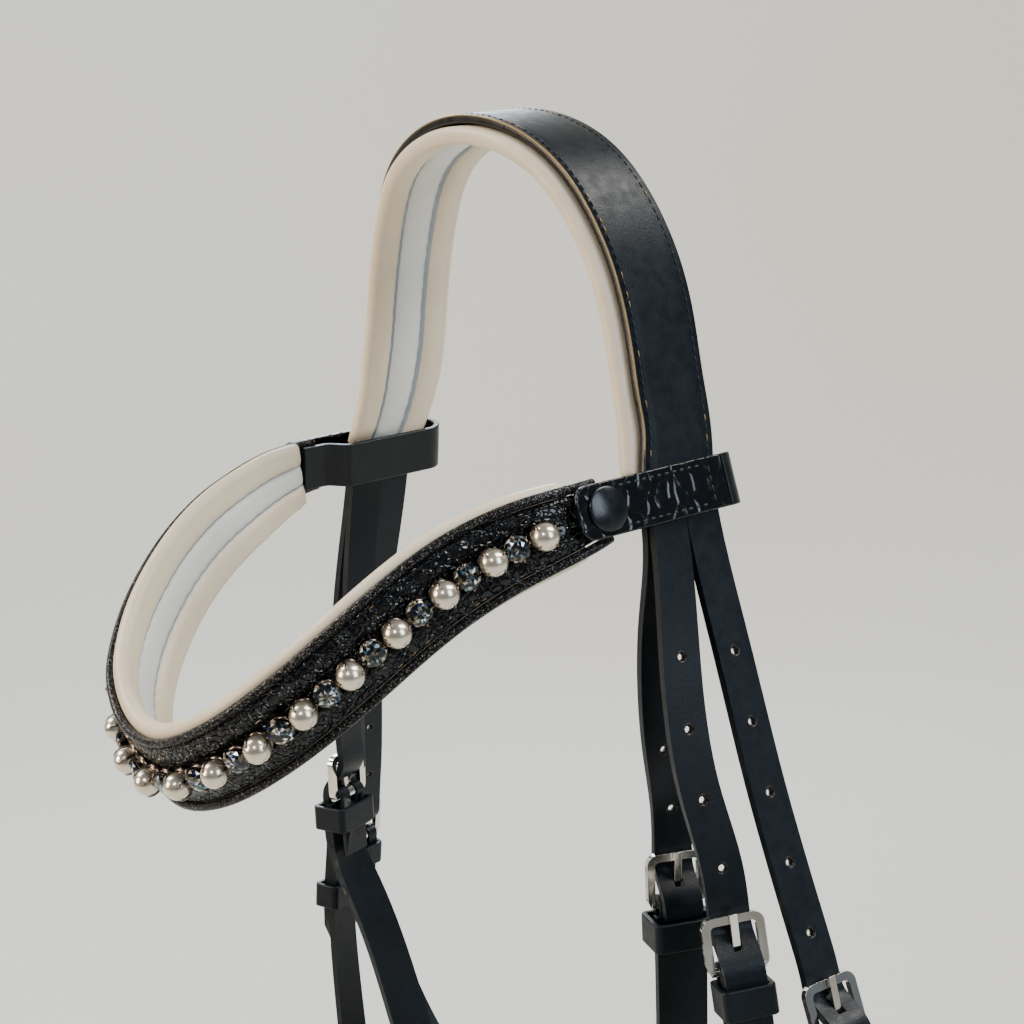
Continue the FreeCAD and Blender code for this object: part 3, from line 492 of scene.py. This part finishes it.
def round_box(half_wide, half_thick, radius, groove, steps=3):
    """Section of a strap as (across, out, is side) points: round corners, and a groove for each seam."""
    points, rows = [], 16
    inset, depth, spread = groove
    seams = (inset - half_wide, half_wide - inset)
    for k in range(rows + 1):
        across = (half_wide - radius) * (2 * k / rows - 1)
        sink = sum(depth * math.exp(-((across - seam) / spread) ** 2) for seam in seams)
        points.append((across, half_thick - sink, 0))
    for corner, first in ((1, 90), (-1, 0)):
        if corner == -1:
            points.append((half_wide, 0, 1))
        for k in range(1, steps + 1):
            angle = math.radians(first - 90 * k / steps)
            points.append((half_wide - radius + radius * math.cos(angle),
                           corner * (half_thick - radius) + radius * math.sin(angle), 1))
    back = [(-across, -out, side) for across, out, side in points]
    return points + back


def rope(name, line, radius, ring=10):
    """Round rope through points."""
    tangent = unit(np.gradient(line, axis=0))
    side = unit(np.cross(tangent, np.array([0.1, 0.2, 1.0])))
    up = np.cross(side, tangent)
    turns = [2 * math.pi * j / ring for j in range(ring)]
    sections = [[p + s * radius * math.cos(a) + u * radius * math.sin(a) for a in turns]
                for p, s, u in zip(line, side, up)]
    return loft(name, sections)


def join_meshes(name, parts, slots=None):
    """One mesh from (places, faces) parts, with a material number for each part."""
    places, faces, numbers = [], [], []
    for k, (points, polygons) in enumerate(parts):
        base = len(places)
        places += [tuple(p) for p in points]
        faces += [tuple(base + i for i in polygon) for polygon in polygons]
        numbers += [slots[k] if slots else 0] * len(polygons)
    mesh = bpy.data.meshes.new(name)
    mesh.from_pydata(places, [], faces)
    mesh.polygons.foreach_set("material_index", numbers)
    mesh.update()
    return mesh


def stitch_part(start, end, out, radius):
    """One stitch: a flattened bead between two points that dips at its ends."""
    axis = end - start
    length = np.linalg.norm(axis)
    axis = axis / length
    side = np.cross(axis, out)
    points, rings, ring = [], 6, 6
    for k in range(rings + 1):
        share = k / rings
        girth = radius * math.sin(math.pi * min(max(share, 0.06), 0.94)) ** 0.45
        sink = radius * 0.9 * (2 * share - 1) ** 4
        for j in range(ring):
            turn = 2 * math.pi * j / ring
            points.append(start + axis * length * share + side * girth * math.cos(turn)
                          + out * (girth * 0.8 * math.sin(turn) - sink))
    return points, tube_faces(rings + 1, ring) + end_faces(rings + 1, ring)


def stitches(name, node, lines, outs, pitch, radius, gold):
    """Stitches along lines that lie on a surface, a share of them golden."""
    parts, slots = [], []
    for line, out in zip(lines, outs):
        along = lengths(line)
        for k in range(int(along[-1] / pitch)):
            ends = []
            for share in DASH:
                spot = (k + share) * pitch
                ends.append(np.array([np.interp(spot, along, line[:, j]) for j in range(3)]))
            face = unit(np.array([np.interp((k + 0.5) * pitch, along, out[:, j]) for j in range(3)]))
            parts.append(stitch_part(ends[0], ends[1], face, radius))
            slots.append(1 if draw.rand() < gold else 0)
    new_piece(name, join_meshes(name, parts, slots), node, [DARK_THREAD, GOLD_THREAD])


def strap_lines(strap, inset, sink=0.0, start=0.004):
    """Two lines along the outer face, at an inset from its edges, with the way out at each point."""
    keep = [k for k, along in enumerate(strap.along) if start < along < strap.along[-1] - start]
    lines = [[strap.at(k, side * (strap.width[k] / 2 - inset), strap.thick[k] / 2 - sink) for k in keep]
             for side in (-1, 1)]
    return np.array(lines), [strap.out[keep]] * 2


# ---------------------------------------------------------------- headpiece


def dress_strap(node, strap, radius, groove, materials):
    """Replaces a strap with one that has round corners, grooves for its stitches and burnished edges."""
    sections, tags = [], None
    for k in range(len(strap.along)):
        ring = round_box(strap.width[k] / 2, strap.thick[k] / 2, radius, groove)
        tags = [side for _, _, side in ring]
        sections.append([strap.at(k, across, out) for across, out, _ in ring])
    piece = new_piece(node + "_detail", loft(node + "_detail", sections, tags), node, materials)
    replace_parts(piece, node)


HEAD_CENTRE = np.array([0, 0, -0.09])
HEAD_STITCH_INSET = 0.0024
head = Strap(rails("headpiece_leather"), HEAD_CENTRE, 0.003)
dress_strap("headpiece_leather", head, 0.0007, (HEAD_STITCH_INSET, 0.00022, 0.0006), [BLACK, BLACK_EDGE])
stitches("headpiece_stitching", "headpiece_leather", *strap_lines(head, HEAD_STITCH_INSET),
         pitch=0.0031, radius=0.00024, gold=0.16)
front_edge = np.array([head.at(k, 0.0003 - head.width[k] / 2, head.thick[k] / 2 - 0.0004)
                       for k in range(3, len(head.along) - 3)])
new_piece("headpiece_gold_edge", rope("headpiece_gold_edge", front_edge, 0.00032, 8), "headpiece_leather",
          [GOLD_THREAD])


def padded_section(width, thick, channels, pucker):
    """Section of a padded lining: flat where it is sewn to the strap, and full between its seams."""
    at_seam, middle_fill, crown_power = 0.42, 0.86, 2.4
    half = width / 2
    seams = [-half] + channels + [half]
    places = [-half + width * k / LINING_ROWS for k in range(LINING_ROWS + 1)]

    def round_edge(across):
        """Half the thickness at a place in the round edge, or None further in."""
        depth = (half - abs(across)) / (thick / 2)
        return thick / 2 * math.sqrt(max(0.0, 1 - (1 - depth) ** 2)) if depth < 1 else None

    inner = []
    for across in places:
        bay = next(i for i in range(len(seams) - 1) if across <= seams[i + 1] + 1e-9)
        low, high = seams[bay], seams[bay + 1]
        full = thick * (1.0 if bay in (0, len(seams) - 2) else middle_fill)
        crown = max(0.0, 1 - abs(2 * (across - low) / (high - low) - 1) ** crown_power) ** 0.5
        seam = thick * at_seam + pucker
        height = seam + (full - seam) * crown
        edge = round_edge(across)
        inner.append((across, thick / 2 - height if edge is None else -edge))
    outer = []
    for across in places[-2:0:-1]:
        edge = round_edge(across)
        outer.append((across, thick / 2 if edge is None else edge))
    return inner + outer


def rim_tags(seams):
    """Material of each strip: 0 between the seams, 1 outside them and 2 on a seam, a darker strip of painted
    shade in its groove.
    """
    shares = [2 * (k + 0.5) / LINING_ROWS - 1 for k in range(LINING_ROWS)]
    near = [min(abs(share - seam) for seam in seams) for share in shares]
    inner = [2 if gap < SEAM_SHADE_HALF else 1 if share < seams[0] or share > seams[-1] else 0
             for share, gap in zip(shares, near)]
    return inner + [1] * LINING_ROWS


def dress_lining(node, strap, seams, materials, wider=1.0):
    """Padded lining with sewn channels: the stuffing swells between the stitches."""
    pucker_pitch, pucker_depth, unevenness = 0.0056, 0.0003, 0.0002
    end_share, end_reach = 0.7, 0.012  # the pad thins to this share over this length towards its ends
    sections = []
    wander = smooth_rows(draw.normal(0, 1, (len(strap.along), 3)), 3)
    for k, along in enumerate(strap.along):
        wave = math.cos(2 * math.pi * along / pucker_pitch + wander[k][1])
        pull = pucker_depth * wave + unevenness * wander[k][0]
        ends = min(1.0, min(along, strap.along[-1] - along) / end_reach + end_share)
        width, thick = strap.width[k] * (0.9 + 0.1 * ends) * wider, strap.thick[k] * ends
        places = [share * width / 2 for share in seams]
        ring = padded_section(width, thick, places, pull)
        sections.append([strap.at(k, across, out + 0.5 * (strap.thick[k] - thick)) for across, out in ring])
    piece = new_piece(node + "_padded", loft(node + "_padded", sections, rim_tags(seams)), node, materials)
    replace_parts(piece, node)


head_pad = Strap(rails("headpiece_lining"), HEAD_CENTRE, 0.0013)
dress_lining("headpiece_lining", head_pad, [-0.36, 0.36], [PALE, CREAM, SEAM_SHADE])

# ---------------------------------------------------------------- browband


def band_section(half_wide, half_thick):
    """Two rolled strips of patent with a channel for the stones between them."""
    strip_middle, strip_half, channel_depth, rim = 0.63, 0.34, 0.0009, 0.0003
    points, rows = [], 44
    for k in range(rows + 1):
        share = 2 * k / rows - 1
        roll = max(0.0, 1 - (abs(abs(share) - strip_middle) / strip_half) ** 2.2)
        points.append((share * (half_wide - rim), half_thick - channel_depth * (1 - roll) ** 1.2))
    back = [(half_wide, -half_thick * 0.3), (half_wide * 0.97, -half_thick), (0, -half_thick),
            (-half_wide * 0.97, -half_thick), (-half_wide, -half_thick * 0.3)]
    return points + back


def dress_band():
    """Replaces the browband's strap with the two rolled strips."""
    sections = []
    for k in range(len(band.along)):
        ring = band_section(band.width[k] / 2, band.thick[k] / 2)
        sections.append([band.at(k, across, out) for across, out in ring])
    name = "browband_strap_detail"
    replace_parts(new_piece(name, loft(name, sections), "browband_strap", [BAND_PATENT]), "browband_strap")


def dress_piping():
    """A round glitter rope along the top and the bottom of the browband."""
    top_and_bottom = (-0.166, -0.19)  # heights of the two in the middle of the band
    sides = {}
    for line in rails("browband_piping"):
        height = line[len(line) // 2][2]
        side = min(range(2), key=lambda k: abs(height - top_and_bottom[k]))
        sides.setdefault(side, []).append(line)
    for side, lines in sides.items():
        count = int(lengths(lines[0])[-1] / 0.002)
        core = np.mean([evenly(line, count) for line in same_way(lines)], axis=0)
        name = f"browband_piping_{side}"
        piece = new_piece(name, rope(name, core, 0.0015), "browband_piping", [GLITTER])
        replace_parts(piece, "browband_piping")


BAND_CENTRE = np.array([0, -0.04, -0.181])
band = Strap(rails("browband_strap"), BAND_CENTRE, 0.0025)
dress_band()
band_pad = Strap(rails("browband_lining"), BAND_CENTRE, 0.0013)
dress_lining("browband_lining", band_pad, [-0.34, 0.3], [PALE, CREAM, SEAM_SHADE], 1.07)

dress_piping()
stitches("browband_stitching", "browband_strap", *strap_lines(band, 0.0011, sink=0.0006),
         pitch=0.0026, radius=0.0002, gold=0.12)


# ---------------------------------------------------------------- stones


def axes_of(axis):
    """The axis at unit length, and two directions across it."""
    axis = np.array(axis) / np.linalg.norm(axis)
    side = np.cross(axis, np.array([0.0, 0.0, 1.0]))
    side = side / np.linalg.norm(side)
    return axis, side, np.cross(side, axis)


def around(turn, side, up):
    """Direction at an angle from side towards up."""
    return side * math.cos(turn) + up * math.sin(turn)


def ball_part(centre, axis, radius, rings=16, ring=26, lowest=-0.72):
    """A ball that is cut off flat near its foot, where the setting hides it."""
    axis, side, up = axes_of(axis)
    points = []
    angles = np.linspace(math.asin(lowest), math.pi / 2, rings + 1)[:-1]
    for angle in angles:
        for j in range(ring):
            across = around(2 * math.pi * j / ring, side, up)
            points.append(centre + axis * radius * math.sin(angle) + across * radius * math.cos(angle))
    faces = tube_faces(rings, ring)
    points.append(centre + axis * radius)
    top = (rings - 1) * ring
    faces += [(top + j, top + (j + 1) % ring, len(points) - 1) for j in range(ring)]
    faces.append(tuple(range(ring))[::-1])
    return points, faces


def gem_part(seat, axis, radius, height, spin):
    """Cut stone: a table, star and main facets, a girdle and a pavilion."""
    axis, side, up = axes_of(axis)
    sides = 14
    # share of the radius, share of the height, turn by a share of one side
    levels = [(0.45, 0.0, 0.0), (0.96, 0.52, 0.0), (1.0, 0.60, 0.5), (0.86, 0.80, 0.0), (0.62, 0.95, 0.5),
              (0.34, 1.0, 0.0)]
    points, faces = [], []
    for share, level, offset in levels:
        for j in range(sides):
            across = around(spin + 2 * math.pi * (j + offset) / sides, side, up)
            points.append(seat + axis * height * level + across * radius * share)
    for k in range(len(levels) - 1):
        shifted = levels[k + 1][2] - levels[k][2]
        for j in range(sides):
            after = (j + 1) % sides
            a, b = k * sides + j, k * sides + after
            c, d = (k + 1) * sides + j, (k + 1) * sides + after
            faces += [(a, b, c), (b, d, c)] if shifted > 0 else [(a, b, d), (a, d, c)]
    top = (len(levels) - 1) * sides
    points += [seat, seat + axis * height * 0.97]
    for j in range(sides):
        after = (j + 1) % sides
        faces += [(after, j, len(points) - 2), (top + j, top + after, len(points) - 1)]
    return points, faces


def claw_part(seat, axis, turn, path, wide):
    """A claw through (distance from the axis, height above the seat) points, thinner at its tip."""
    axis, side, up = axes_of(axis)
    outward = around(turn, side, up)
    along = np.cross(axis, outward)
    spots = [seat + outward * reach + axis * level for reach, level in path]
    points, ring = [], 8
    for k, spot in enumerate(spots):
        way = unit(spots[min(k + 1, len(spots) - 1)] - spots[max(k - 1, 0)])
        face = np.cross(along, way)
        girth = wide * (1.0, 1.0, 0.95, 0.9, 0.75, 0.4)[k]
        for j in range(ring):
            angle = 2 * math.pi * j / ring
            points.append(spot + along * girth * math.cos(angle) + face * girth * 0.6 * math.sin(angle))
    return points, tube_faces(len(path), ring) + end_faces(len(path), ring)


def pearl_claws(seat, centre, radius):
    """Four claws that hug a pearl to just above its widest part."""
    rise, reach = np.linalg.norm(centre - seat), radius + 0.0003
    angles = [math.radians(degrees) for degrees in (-58, -36, -12, 10, 28, 40)]
    path = [(reach * math.cos(angle), rise + reach * math.sin(angle)) for angle in angles]
    return claws(seat, centre - seat, path, radius)


def gem_claws(seat, axis, low, radius, height):
    """Four claws that bend over the edge of a cut stone."""
    shares = ((0.7, -0.1), (0.9, 0.2), (1.05, 0.5), (1.06, 0.64), (0.96, 0.78), (0.84, 0.86))
    path = [(radius * reach, low + height * level) for reach, level in shares]
    return claws(seat, axis, path, radius)


def ball_through(points):
    """Centre and radius of the ball whose surface the points lie on."""
    matrix = np.concatenate([2 * points, np.ones((len(points), 1))], 1)
    found = np.linalg.lstsq(matrix, (points ** 2).sum(1), rcond=None)[0]
    centre = found[:3]
    return centre, math.sqrt(max(found[3] + centre @ centre, 1e-12))


def make_stones():
    """Pearls and cut stones in place of the frame's plain ones, each in a setting with claws."""
    seats = [group.mean(axis=0) for group in islands("stone_settings")]
    pearls, gems, metal = [], [], []

    def nearest(spot):
        return min(seats, key=lambda seat: np.linalg.norm(seat - spot))

    for group in islands("browband_pearls"):
        centre, radius = ball_through(group)
        seat = nearest(centre)
        pearls.append(ball_part(centre, centre - seat, radius))
        metal += pearl_claws(seat, centre, radius)
    for group in islands("browband_crystals"):
        middle = group.mean(axis=0)
        seat = nearest(middle)
        axis = unit(middle - seat)
        level = (group - seat) @ axis
        low, high = level.min(), level.max()
        radius = np.linalg.norm((group - seat) - np.outer(level, axis), axis=1).max()
        gems.append(gem_part(seat + axis * low, axis, radius, high - low, draw.rand()))
        metal += gem_claws(seat, axis, low, radius, high - low)
    for name, parts, node, material in (("pearls", pearls, "browband_pearls", PEARL),
                                        ("crystals", gems, "browband_crystals", CRYSTAL),
                                        ("stone_claws", metal, "stone_settings", GUNMETAL)):
        mesh = join_meshes(name, parts)
        if name == "crystals":
            paint_facet_glints(mesh)
        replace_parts(new_piece(name, mesh, node, [material], smooth=name != "crystals"), node)


def ring_part(centre, axis, profile, ring):
    """A ring round an axis through (radius, level along the axis) points."""
    axis, side, up = axes_of(axis)
    points = [centre + axis * level + around(2 * math.pi * j / ring, side, up) * reach
              for reach, level in profile for j in range(ring)]
    return points, tube_faces(len(profile), ring, closed=True)


def claws(seat, axis, path, radius):
    """Four claws that stand in a low collar."""
    first = draw.rand() * 0.5 + math.pi / 4
    parts = [claw_part(seat, axis, first + math.pi / 2 * k, path, 0.00055) for k in range(4)]
    outer, inner, low, high = radius * 0.9, radius * 0.63, -0.0014, 0.0006
    parts.append(ring_part(seat, axis, [(outer, low), (outer, high), (inner, high), (inner, low)], 20))
    return parts


def paint_facet_glints(mesh):
    """Each facet takes a colour of its own: dark, as the stone is, or steel blue, brown or bright, as painted
    internal reflections and glints.
    """
    glint_palette = [(0.01, 0.011, 0.014), (0.03, 0.035, 0.045), (0.09, 0.14, 0.16), (0.17, 0.13, 0.07),
               (0.45, 0.42, 0.36), (0.88, 0.9, 0.92), (0.04, 0.06, 0.34), (0.10, 0.34, 0.36)]
    odds = [0.40, 0.22, 0.10, 0.10, 0.08, 0.06, 0.02, 0.02]
    layer = mesh.color_attributes.new("facet", "FLOAT_COLOR", "CORNER")
    for polygon in mesh.polygons:
        tint = glint_palette[draw.choice(len(glint_palette), p=odds)]
        for loop in polygon.loop_indices:
            layer.data[loop].color = (*tint, 1)


make_stones()

# ---------------------------------------------------------------- loops, tabs and snaps


def corners_of(node):
    """The places of a node's vertices."""
    return np.array([tuple(vertex.co) for vertex in NODES[node].data.vertices])


def tab_stitches(side):
    """Stitches along both edges of a snap tab, from its cap to the fold, and across at the fold."""
    verts = corners_of(f"snap_tab_{side}")
    middle = verts.mean(axis=0)
    directions = np.linalg.eigh(np.cov(verts.T))[1]
    long, thin = directions[:, 2], directions[:, 0]
    normal = thin * np.sign(thin @ (corners_of(f"snap_cap_{side}").mean(axis=0) - middle))
    long = long * np.sign(long[1])
    across = np.cross(normal, long)
    reach, rise = (verts - middle) @ long, (verts - middle) @ across
    face = middle + across * (rise.max() + rise.min()) / 2 + normal * ((verts - middle) @ normal).max()
    seam = (rise.max() - rise.min()) / 2 - 0.0022
    cap_end, fold_end = reach.min() + 0.016, reach.max() - 0.006
    along = np.linspace(cap_end, fold_end, 12)
    lines = [np.array([face + long * spot + across * sign * seam for spot in along]) for sign in (-1, 1)]
    lines.append(np.array([face + long * fold_end + across * spot for spot in np.linspace(-seam, seam, 6)]))
    outs = [np.array([normal] * len(line)) for line in lines]
    stitches(f"snap_tab_stitching_{side}", f"snap_tab_{side}", lines, outs,
             pitch=0.003, radius=0.0004, gold=0.0)


for side in SIDES:
    rounded(f"browband_loop_{side}", 0.0005, [PLAIN])
    rounded(f"snap_tab_{side}", 0.0006, [PATENT])
    rounded(f"snap_cap_{side}", 0.0003, [CAP])
    rounded(f"snap_socket_{side}", 0.0002)
    tab_stitches(side)
rounded("snap_studs", 0.0002)

# ---------------------------------------------------------------- straps and metal


def hole_rims(node):
    """Centre and radius of each small round edge of a node."""
    form = welded(node)
    rims = []
    for group in connected(sharp_links(form)):
        middle = (group.max(axis=0) + group.min(axis=0)) / 2
        reach = np.linalg.norm(group - middle, axis=1)
        if len(group) >= 8 and reach.max() < LARGEST_HOLE and reach.min() > SMALLEST_HOLE:
            rims.append((middle, reach.mean()))
    form.free()
    return rims


def punched_holes(node):
    """A dark burr in each free punch hole: the hole stays open and narrows towards its middle."""
    rims = hole_rims(node)
    used, parts = set(), []
    for k, (middle, radius) in enumerate(rims):
        partner = next((j for j in range(k + 1, len(rims))
                        if j not in used and np.linalg.norm(rims[j][0] - middle) < THICKEST_STRAP), None)
        if k in used or partner is None:
            continue
        used.update((k, partner))
        other = rims[partner][0]
        centre, tall = (middle + other) / 2, np.linalg.norm(other - middle)
        if any(np.linalg.norm(points - centre, axis=1).min() < TONGUE_REACH for points in TONGUES):
            continue
        shares = ((1.04, -0.5), (0.9, -0.52), (0.58, -0.3), (0.5, 0.0), (0.58, 0.3), (0.9, 0.52), (1.04, 0.5))
        profile = [(radius * reach, tall * level) for reach, level in shares]
        parts.append(ring_part(centre, other - middle, profile, 28))
    if parts:
        new_piece(node + "_holes", join_meshes(node + "_holes", parts), node, [BLACK_EDGE])


TONGUES = [corners_of(name) for name in NODES if "_tongue" in name]
ROUNDING = (  # radius, segments, pieces
    (0.00045, 3, ("cheek_billet", "throat_billet", "noseband_billet", "cheekpiece", "noseband_strap",
                  "jaw_strap", "throatlash")),
    (0.0005, 3, ("cheek_keeper", "throat_keeper", "noseband_keeper", "jaw_keeper", "cheek_runner")),
    (0.0009, 4, ("cheek_buckle", "throat_buckle", "noseband_buckle", "jaw_buckle")),
    (0.00055, 3, ("cheek_tongue", "throat_tongue", "noseband_tongue", "jaw_tongue")),
    (0.0012, 4, ("bit_ring", "bit_mouth")),
    (0.0003, 3, ("hook_studs",)),
    (0.0007, 3, ("nosepiece",)),
)
for radius, segments, kinds in ROUNDING:
    for kind in kinds:
        for node in (kind, f"{kind}_left", f"{kind}_right"):
            if node in NODES:
                rounded(node, radius, segments=segments)
for node in NODES:
    if "_billet_" in node or node == "jaw_strap":
        punched_holes(node)

NOSE_CENTRE = np.array([0, -0.02, -0.403])
nose_pad = Strap(rails("nosepiece_lining"), NOSE_CENTRE, 0.0015)
dress_lining("nosepiece_lining", nose_pad, [-0.36, 0.36], [PALE, CREAM, SEAM_SHADE])

# ---------------------------------------------------------------- stage, light and camera


CAMERA_PLACE = (0.5186, -0.3576, 0.0)
CAMERA_AZIMUTH, CAMERA_DOWN, CAMERA_ROLL = math.radians(55.56), math.radians(11.34), math.radians(-5.97)
CAMERA_LENS = 65.1
AWAY = Vector((-math.sin(CAMERA_AZIMUTH), math.cos(CAMERA_AZIMUTH), 0))  # level, away from the camera
LEVEL = Vector((math.cos(CAMERA_AZIMUTH), math.sin(CAMERA_AZIMUTH), 0))  # level, to the camera's right


def lamp(name, place, aim, size, power, color):
    """A rectangular lamp, turned towards a point."""
    data = bpy.data.lights.new(name, "AREA")
    data.shape = "RECTANGLE"
    data.size, data.size_y = size
    data.energy = power
    data.color = color
    thing = bpy.data.objects.new(name, data)
    bpy.context.scene.collection.objects.link(thing)
    thing.location = place
    thing.rotation_euler = (Vector(aim) - Vector(place)).to_track_quat("-Z", "Y").to_euler()


def sweep_wall(material):
    """Floor that curves up into the backdrop, behind the bridle as the camera sees it."""
    radius, floor, foot, half_wide = 1.6, -0.75, 1.8, 9
    profile = [(-6.0, floor), (foot, floor)]
    profile += [(foot + radius * math.sin(turn), floor + radius * (1 - math.cos(turn)))
                for turn in (math.pi / 2 * k / 24 for k in range(1, 25))]
    profile.append((foot + radius, 6.0))
    places = [tuple(AWAY * far + LEVEL * side + Vector((0, 0, high)))
              for far, high in profile for side in (-half_wide, half_wide)]
    faces = [(2 * k, 2 * k + 1, 2 * k + 3, 2 * k + 2) for k in range(len(profile) - 1)]
    mesh = bpy.data.meshes.new("backdrop")
    mesh.from_pydata(places, [], faces)
    mesh.polygons.foreach_set("use_smooth", [True] * len(faces))
    mesh.materials.append(material)
    thing = bpy.data.objects.new("backdrop", mesh)
    bpy.context.scene.collection.objects.link(thing)


def make_stage():
    """Wall, sky and lamps: a warm lamp in front, a cool window on the right, and light on the wall."""
    bridle, wall_middle = (0, 0, -0.12), tuple(AWAY * 3.0 + Vector((0, 0, -0.2)))
    wall = Shader("pale wall", (0.66, 0.645, 0.60), 0.95, Specular_IOR_Level=0.1)
    grade = wall.span(wall.noise(0.6, 1), 0.35, 0.65)
    wall.color(wall.mix(grade, (0.62, 0.59, 0.53), (0.60, 0.615, 0.59)))
    sweep_wall(wall.material)
    world = bpy.data.worlds.new("soft sky")
    bpy.context.scene.world = world
    world.use_nodes = True
    sky = world.node_tree.nodes["Background"]
    sky.inputs["Color"].default_value = (0.78, 0.88, 1.0, 1)
    sky.inputs["Strength"].default_value = 0.2
    lamp("warm key", (-0.9, -1.9, 0.5), (0, -0.05, -0.12), (0.9, 0.9), 36, (1.0, 0.86, 0.68))
    lamp("cool window", (1.9, 0.35, 0.7), bridle, (0.8, 1.3), 26, (0.76, 0.88, 1.0))
    lamp("front lamp", (1.2, -1.6, 1.3), bridle, (0.3, 0.3), 12, (1.0, 0.97, 0.93))
    lamp("cool far side", (-1.5, 0.9, 0.7), (0, 0, -0.1), (0.5, 1.0), 14, (0.78, 0.88, 1.0))
    lamp("wall wash", (1.0, 1.8, 2.6), wall_middle, (2.5, 1.2), 150, (1.0, 0.98, 0.94))
    lamp("wall wash left", (-2.6, -1.4, 2.4), wall_middle, (2.5, 1.2), 130, (1.0, 0.97, 0.92))


def make_camera():
    """The photograph's viewpoint."""
    back = -AWAY * math.cos(CAMERA_DOWN) + Vector((0, 0, math.sin(CAMERA_DOWN)))
    rise = back.cross(LEVEL)
    right = LEVEL * math.cos(CAMERA_ROLL) + rise * math.sin(CAMERA_ROLL)
    up = rise * math.cos(CAMERA_ROLL) - LEVEL * math.sin(CAMERA_ROLL)
    data = bpy.data.cameras.new("camera")
    data.lens = CAMERA_LENS
    data.sensor_width = 36
    data.clip_start = 0.01
    thing = bpy.data.objects.new("camera", data)
    bpy.context.scene.collection.objects.link(thing)
    columns = (right, up, back, Vector(CAMERA_PLACE))
    rows = [[column[k] for column in columns] for k in range(3)]
    thing.matrix_world = Matrix((*rows, (0, 0, 0, 1)))
    bpy.context.scene.camera = thing


make_stage()
make_camera()
